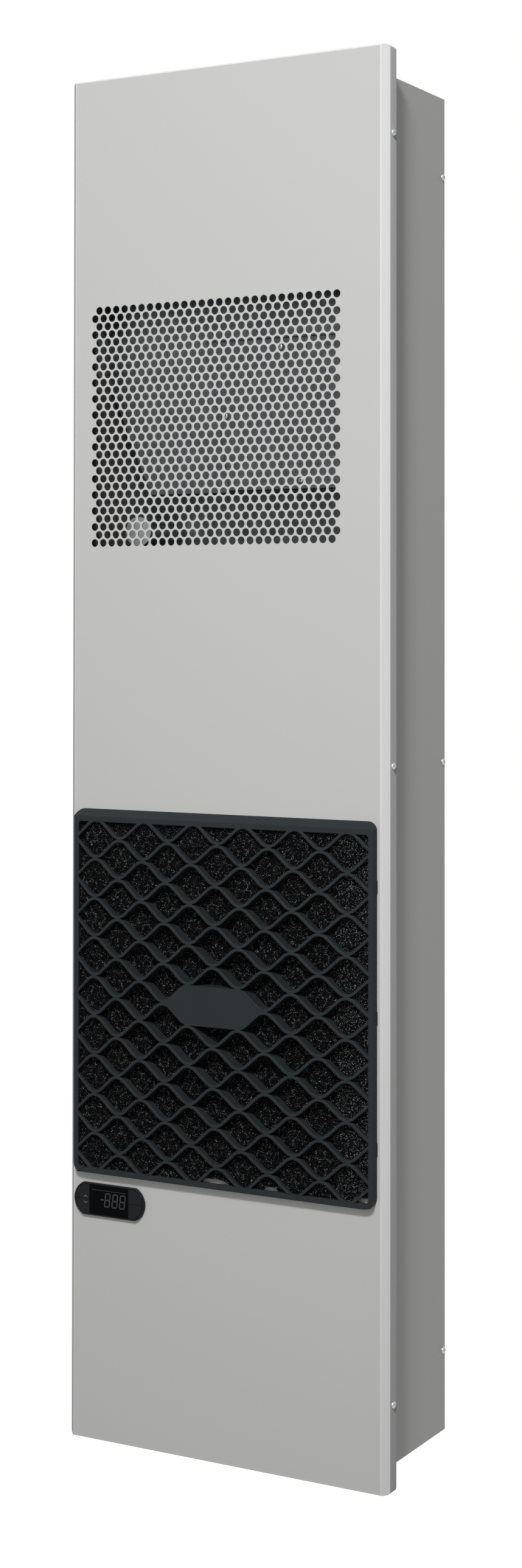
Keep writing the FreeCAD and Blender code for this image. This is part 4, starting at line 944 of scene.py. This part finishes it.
def threaded_rod(radius, reach, pitch, depth):
    """Stud along Z with a true helical thread and a chamfered end."""
    count = int(reach / pitch * RINGS_PER_TURN)

    def build(work):
        rings = []
        for number in range(count + 1):
            z = reach * number / count
            end = min(1.0, (reach - z) / (CHAMFER * pitch) + TIP)
            ring = []
            for side in range(STUD_SIDES):
                phase = (z / pitch - side / STUD_SIDES) % 1.0
                crest = radius - depth * min(1.0, abs(phase - 0.5) * FLANK)
                size = min(crest, radius - depth + depth * end)
                turn = math.tau * side / STUD_SIDES
                ring.append(work.verts.new((size * math.cos(turn), size * math.sin(turn), z)))
            rings.append(ring)
        join_rings(work, rings)
        work.faces.new(rings[0])
        work.faces.new(rings[-1])
        bmesh.ops.recalc_face_normals(work, faces=work.faces)

    return mesh_of("stud", build)


def solid_boxes(node):
    """Lowest and highest corners of a CAD node's separate solids, in order."""
    work = bmesh.new()
    work.from_mesh(frame["nodes"][node].data)
    bmesh.ops.remove_doubles(work, verts=work.verts, dist=MERGE)
    left = set(work.verts)
    boxes = []
    while left:
        stack = [left.pop()]
        low, high = stack[0].co.copy(), stack[0].co.copy()
        while stack:
            vert = stack.pop()
            low = Vector(map(min, low, vert.co))
            high = Vector(map(max, high, vert.co))
            for edge in vert.link_edges:
                other = edge.other_vert(vert)
                if other in left:
                    left.remove(other)
                    stack.append(other)
        boxes.append((low, high))
    work.free()
    return sorted(boxes, key=lambda pair: tuple(round(value, 4) for value in pair[0]))


class AIRCON_OT_screws(bpy.types.Operator):
    """Pan-head screws of the cover, the rear cover and the fan plate"""
    bl_idname = "aircon.screws"
    bl_label = "Screws"

    def execute(self, context):
        sizes = context.scene.aircon_fasteners
        for node in ("cover_screws", "rear_cover_screws", "fan_plate_screws"):
            places = []
            for number, (low, high) in enumerate(solid_boxes(node)):
                place = (low + high) / 2
                if node == "fan_plate_screws":
                    place.y = low.y + sizes.head_height
                    lie = Euler((QUARTER, 0.0, 0.0))
                else:
                    side = 1 if place.x > 0 else -1
                    place.x = (high.x if side > 0 else low.x) - side * sizes.head_height
                    lie = Euler((0.0, side * QUARTER, 0.0))
                spin = Euler((0.0, 0.0, FIRST_SPIN + SPIN_STEP * number))
                turn = lie.to_matrix() @ spin.to_matrix()
                places.append((place, tuple(turn.to_euler())))
            name = node.replace("_screws", "_pan_heads")
            piece = on_points(name, pan_head_screw(sizes), places, "zinc_steel")
            carry(piece, UNIT, "zinc_steel", node)
        return {"FINISHED"}


class AIRCON_OT_studs(bpy.types.Operator):
    """Threaded studs on the mounting flange"""
    bl_idname = "aircon.studs"
    bl_label = "Mounting studs"

    def execute(self, context):
        sizes = context.scene.aircon_fasteners
        boxes = solid_boxes("mounting_studs")
        low, high = boxes[0]
        rod = threaded_rod((high.x - low.x) / 2, high.y - low.y, sizes.stud_pitch, sizes.thread_depth)
        places = [(Vector(((a.x + b.x) / 2, a.y, (a.z + b.z) / 2)), (-QUARTER, 0.0, 0.0)) for a, b in boxes]
        piece = on_points("threaded_studs", rod, places, "zinc_steel")
        carry(piece, UNIT, "zinc_steel", "mounting_studs")
        return {"FINISHED"}


# Controller

INK = 0.05 * MM  # thickness of a printed mark
DIGITS = 3
FLAT_GAP, UPRIGHT_GAP = 0.9, 0.75  # how many strokes a digit's bars are shorter than its sides
# Marks of the display, with their places from the middle of the window
DIGITS_LEFT, DIGITS_UP = -5.6 * MM, 0.9 * MM
MINUS_REACH, MINUS_LEFT = 4.8 * MM, -8.8 * MM
RULE_REACH, RULE_STROKE, RULE_RIGHT, RULE_UP = 46.6 * MM, 0.5 * MM, 0.4 * MM, 11.2 * MM
# Arrows on the keys: two leaning arms each
ARM_REACH, ARM_STROKE, ARM_OFFSET, ARM_LEAN = 3.2 * MM, 0.45 * MM, 1.16 * MM, math.radians(40)
ARROW_INSET = 4.9 * MM  # from the key's right edge
ARROWS = (("key_up", 1, 2.6 * MM), ("key_down", -1, -4.0 * MM))  # key, way, height from the middle of the window


def segment_bar(reach, width):
    """Bar along X with pointed ends, lying on y = 0."""
    end, half = reach / 2, width / 2
    outline = [(-end, 0), (half - end, -half), (end - half, -half), (end, 0), (end - half, half), (half - end, half)]

    def build(work):
        rings = [[work.verts.new((x, y, z)) for x, z in outline] for y in (-INK, 0.0)]
        join_rings(work, rings)
        for ring in rings:
            work.faces.new(ring)
        bmesh.ops.recalc_face_normals(work, faces=work.faces)

    return mesh_of("segment", build)


def digit_places(sizes, left, middle_z, y):
    """(place, turn) of the seven bars of each digit, leaning to the right."""
    flat, upright = [], []
    slope = math.tan(sizes.lean)
    half = sizes.digit_height / 2 - sizes.stroke / 2
    for digit in range(DIGITS):
        x = left + digit * sizes.digit_pitch + sizes.digit_width / 2
        for level in (-half, 0.0, half):
            flat.append((Vector((x + level * slope, y, middle_z + level)), (0.0, 0.0, 0.0)))
        for side in (-1, 1):
            reach = side * (sizes.digit_width - sizes.stroke) / 2
            for level in (-half / 2, half / 2):
                upright.append((Vector((x + reach + level * slope, y, middle_z + level)),
                                (0.0, sizes.lean - QUARTER, 0.0)))
    return flat, upright


class AIRCON_OT_controller(bpy.types.Operator):
    """Controller bezel, keys, arrows and the unlit display"""
    bl_idname = "aircon.controller"
    bl_label = "Controller"

    def execute(self, context):
        sizes = context.scene.aircon_controller
        face = cover_face()
        window_low, window_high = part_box("controller_window")

        def set_back(point):
            y = face + (point.y - face) * sizes.stand if point.y < face else point.y
            beyond = max(0.0, point.x - window_high.x) + min(0.0, point.x - window_low.x)
            return Vector((point.x + beyond * sizes.end_stretch, y, point.z + sizes.lift))

        bezel = rounded_copy("controller_bezel", "bezel_moulding", sizes.bezel_edge, "black_plastic",
                             reshape=set_back)
        carry(bezel, UNIT, "black_plastic", "controller_bezel")
        for key in ("key_up", "key_down", "key_standby", "key_set"):
            key_low, key_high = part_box(key)

            def thinned(point):
                deep = (point.y - key_low.y) / (key_high.y - key_low.y)
                return set_back(point) - Vector((0.0, deep * sizes.key_room, 0.0))

            cap = rounded_copy(key, key + "_cap", sizes.key_edge, "black_plastic", reshape=thinned)
            carry(cap, key, "black_plastic", key)
        window = rounded_copy("controller_window", "display_window", sizes.key_edge, "smoked_window",
                              reshape=set_back)
        carry(window, UNIT, "smoked_window", "controller_window")
        low, high = set_back(window_low), set_back(window_high)
        middle = (low + high) / 2
        level = middle.z + DIGITS_UP
        flat, upright = digit_places(sizes, middle.x + DIGITS_LEFT, level, low.y)
        minus = (Vector((middle.x + MINUS_LEFT, low.y, level)), (0.0, 0.0, 0.0))
        rule = (Vector((middle.x + RULE_RIGHT, low.y, middle.z + RULE_UP)), (0.0, 0.0, 0.0))
        across = sizes.digit_width - FLAT_GAP * sizes.stroke
        up = sizes.digit_height / 2 - UPRIGHT_GAP * sizes.stroke
        for name, reach, stroke, places in (
                ("display_segments_flat", across, sizes.stroke, flat),
                ("display_segments_upright", up, sizes.stroke, upright),
                ("display_minus", MINUS_REACH, sizes.stroke, [minus]),
                ("display_rule", RULE_REACH, RULE_STROKE, [rule])):
            bars = on_points(name, segment_bar(reach, stroke), places, "segment_ink")
            carry(bars, UNIT, "smoked_window")
        for key, way, height in ARROWS:
            key_low, key_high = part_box(key)
            tip = Vector((key_high.x - ARROW_INSET, set_back(key_low).y, middle.z + height))
            places = [(tip + Vector((side * ARM_OFFSET, 0.0, 0.0)), (0.0, side * way * ARM_LEAN, 0.0))
                      for side in (-1, 1)]
            arrow = on_points(key + "_arrow", segment_bar(ARM_REACH, ARM_STROKE), places, "mark_ink")
            carry(arrow, key, "black_plastic")
        return {"FINISHED"}


# Coils

def fin_tree():
    """Geometry tree of a row of thin fins."""
    tree, given = new_tree("fin pack", {
        "Count": "Int", "Pitch": "Float", "Start": "Vector", "Size": "Vector", "Finish": "Material"})
    step = add_node(tree, "ShaderNodeCombineXYZ", {0: given["Pitch"]})
    line = add_node(tree, "GeometryNodeMeshLine", {
        "Count": given["Count"], "Start Location": given["Start"], "Offset": step})
    fin = add_node(tree, "GeometryNodeMeshCube", {"Size": given["Size"]})
    spread = add_node(tree, "GeometryNodeInstanceOnPoints", {"Points": line, "Instance": fin})
    close_tree(tree, spread, given["Finish"])
    return tree


class AIRCON_OT_coils(bpy.types.Operator):
    """Fin packs of the condenser and the evaporator"""
    bl_idname = "aircon.coils"
    bl_label = "Coils"

    def execute(self, context):
        sizes = context.scene.aircon_coils
        tree = fin_tree()
        for node in ("condenser_fins", "evaporator_fins"):
            low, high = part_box(node)
            span = high - low
            count = int((span.x - sizes.fin_thickness) / sizes.fin_pitch)
            pitch = (span.x - sizes.fin_thickness) / (count - 1)
            start = Vector((low.x + sizes.fin_thickness / 2, (low.y + high.y) / 2, (low.z + high.z) / 2))
            name = node.replace("_fins", "_fin_pack")
            pack = run_tree(new_piece(name, bpy.data.meshes.new(name)), tree, {
                "Count": count, "Pitch": pitch, "Start": tuple(start),
                "Size": (sizes.fin_thickness, span.y, span.z), "Finish": finish("aluminium")})
            carry(pack, UNIT, "aluminium", node)
        return {"FINISHED"}


# Other CAD nodes

class AIRCON_OT_finishes(bpy.types.Operator):
    """Finishes of the CAD nodes that stay as they are"""
    bl_idname = "aircon.finishes"
    bl_label = "Finishes"

    def execute(self, context):
        for part in frame["record"]["subparts"]:
            mesh = frame["nodes"][part["node"]].data
            mesh.materials.clear()
            mesh.materials.append(finish(part["material_slot"]))
        return {"FINISHED"}


# Stage, in metres and watts

FLOOR_HALF, FLOOR_DROP = 12.0, 0.3  # half its width, and its distance below the object
GLOW_NEAR, GLOW_FAR = (1.5, 0.94), (5.0, 1.0)  # distance from the middle, and the floor's own light there
SKY = 0.13  # light from all round
SOFTBOXES = (  # name, place, target, size, power
    ("key_softbox", (1.05, -3.05, 2.75), (-1.2, 0.0, 0.3), (0.5, 0.5), 132.0),
    ("strip_softbox", (0.42, -1.3, 0.14), (-0.4, 0.0, 0.14), (0.4, 1.4), 4.1),
    ("back_softbox", (-1.0, 2.7, 1.1), (0.0, 0.1, 0.0), (1.2, 1.2), 42.0),
)
CAMERA_PLACE, CAMERA_TURN = (1.3390, -2.3270, 0.1569), (90.848, -0.049, 29.236)  # turn in degrees
LENS, SENSOR, SHIFT_UP = 55.19, 36.0, -0.1276


def area_light(name, place, target, size, power):
    """Rectangular softbox at a place, facing a target."""
    data = bpy.data.lights.new(name, "AREA")
    data.shape = "RECTANGLE"
    data.size, data.size_y = size
    data.energy = power
    light = bpy.data.objects.new(name, data)
    light.location = place
    light.rotation_euler = (Vector(target) - Vector(place)).to_track_quat("-Z", "Y").to_euler()
    bpy.context.scene.collection.objects.link(light)


def seen_rays(tree):
    """1 for rays that show the background: camera, glossy and transmission rays."""
    path = add_node(tree, "ShaderNodeLightPath").outputs
    shown = add_node(tree, MATH, {0: path["Is Camera Ray"], 1: path["Is Glossy Ray"]}, operation="MAXIMUM")
    return add_node(tree, MATH, {0: shown, 1: path["Is Transmission Ray"]}, operation="MAXIMUM")


class AIRCON_OT_stage(bpy.types.Operator):
    """Floor, studio light, white background and camera"""
    bl_idname = "aircon.stage"
    bl_label = "Stage"

    def execute(self, context):
        scene = context.scene
        tone = tuple(scene.aircon_colours.floor)

        def plane(work):
            bmesh.ops.create_grid(work, x_segments=1, y_segments=1, size=FLOOR_HALF)
            for vert in work.verts:
                vert.co.z = cad_low.z - FLOOR_DROP

        floor = new_piece("studio_floor", mesh_of("studio_floor", plane))
        material = bpy.data.materials.new("studio_floor_matt")
        material.use_nodes = True
        tree = material.node_tree
        tree.nodes.clear()
        # A matt pale floor that the camera sees as the white background, with the object's faint shadow.
        matt = add_node(tree, "ShaderNodeBsdfDiffuse", {"Color": tone})
        faint = add_node(tree, "ShaderNodeBsdfDiffuse", {"Color": shade(tone, 0.5)})
        place = add_node(tree, "ShaderNodeTexCoord").outputs["Object"]
        away = add_node(tree, VECTOR_MATH, {0: place}, operation="LENGTH").outputs["Value"]
        level = add_node(tree, MAP_RANGE, {"Value": away, "From Min": GLOW_NEAR[0], "From Max": GLOW_FAR[0],
                                           "To Min": GLOW_NEAR[1], "To Max": GLOW_FAR[1]})
        glow = add_node(tree, "ShaderNodeEmission", {"Color": WHITE, "Strength": level})
        white = add_node(tree, "ShaderNodeAddShader", {0: faint, 1: glow})
        mixed = add_node(tree, "ShaderNodeMixShader", {0: seen_rays(tree), 1: matt, 2: white})
        add_node(tree, "ShaderNodeOutputMaterial", {"Surface": mixed})
        floor.data.materials.append(material)

        world = bpy.data.worlds.new("studio")
        scene.world = world
        world.use_nodes = True
        tree = world.node_tree
        tree.nodes.clear()
        soft = add_node(tree, "ShaderNodeBackground", {"Color": WHITE, "Strength": SKY})
        white = add_node(tree, "ShaderNodeBackground", {"Color": WHITE, "Strength": 1.0})
        mixed = add_node(tree, "ShaderNodeMixShader", {0: seen_rays(tree), 1: soft, 2: white})
        add_node(tree, "ShaderNodeOutputWorld", {"Surface": mixed})

        for softbox in SOFTBOXES:
            area_light(*softbox)
        data = bpy.data.cameras.new("camera")
        data.lens = LENS
        data.sensor_width = SENSOR
        data.shift_y = SHIFT_UP
        camera = bpy.data.objects.new("camera", data)
        camera.location = CAMERA_PLACE
        camera.rotation_euler = [math.radians(angle) for angle in CAMERA_TURN]
        scene.collection.objects.link(camera)
        scene.camera = camera
        scene.view_settings.view_transform = "Standard"
        return {"FINISHED"}


class AIRCON_PT_pieces(bpy.types.Panel):
    """Pieces of the air conditioner, and their sizes"""
    bl_idname = "AIRCON_PT_pieces"
    bl_label = "Air conditioner"
    bl_space_type = "VIEW_3D"
    bl_region_type = "UI"
    bl_category = "Air conditioner"

    def draw(self, context):
        for operator in OPERATORS:
            self.layout.operator(operator.bl_idname)
        for name, group in GROUPS.items():
            box = self.layout.box()
            for prop in group.__annotations__:
                box.prop(getattr(context.scene, name), prop)


OPERATORS = (AIRCON_OT_finishes, AIRCON_OT_front_cover, AIRCON_OT_filter_grille, AIRCON_OT_filter_mat,
             AIRCON_OT_screws, AIRCON_OT_studs, AIRCON_OT_controller, AIRCON_OT_coils, AIRCON_OT_stage)


def register():
    for cls in (*GROUPS.values(), *OPERATORS, AIRCON_PT_pieces):
        bpy.utils.register_class(cls)
    for name, group in GROUPS.items():
        setattr(bpy.types.Scene, name, bpy.props.PointerProperty(type=group))


def unregister():
    for name in GROUPS:
        delattr(bpy.types.Scene, name)
    for cls in (AIRCON_PT_pieces, *reversed(OPERATORS), *reversed(GROUPS.values())):
        bpy.utils.unregister_class(cls)


def main():
    register()
    bpy.ops.aircon.finishes()
    bpy.ops.aircon.front_cover()
    bpy.ops.aircon.filter_grille()
    bpy.ops.aircon.filter_mat()
    bpy.ops.aircon.screws()
    bpy.ops.aircon.studs()
    bpy.ops.aircon.controller()
    bpy.ops.aircon.coils()
    bpy.ops.aircon.stage()


if __name__ == "__main__":
    main()
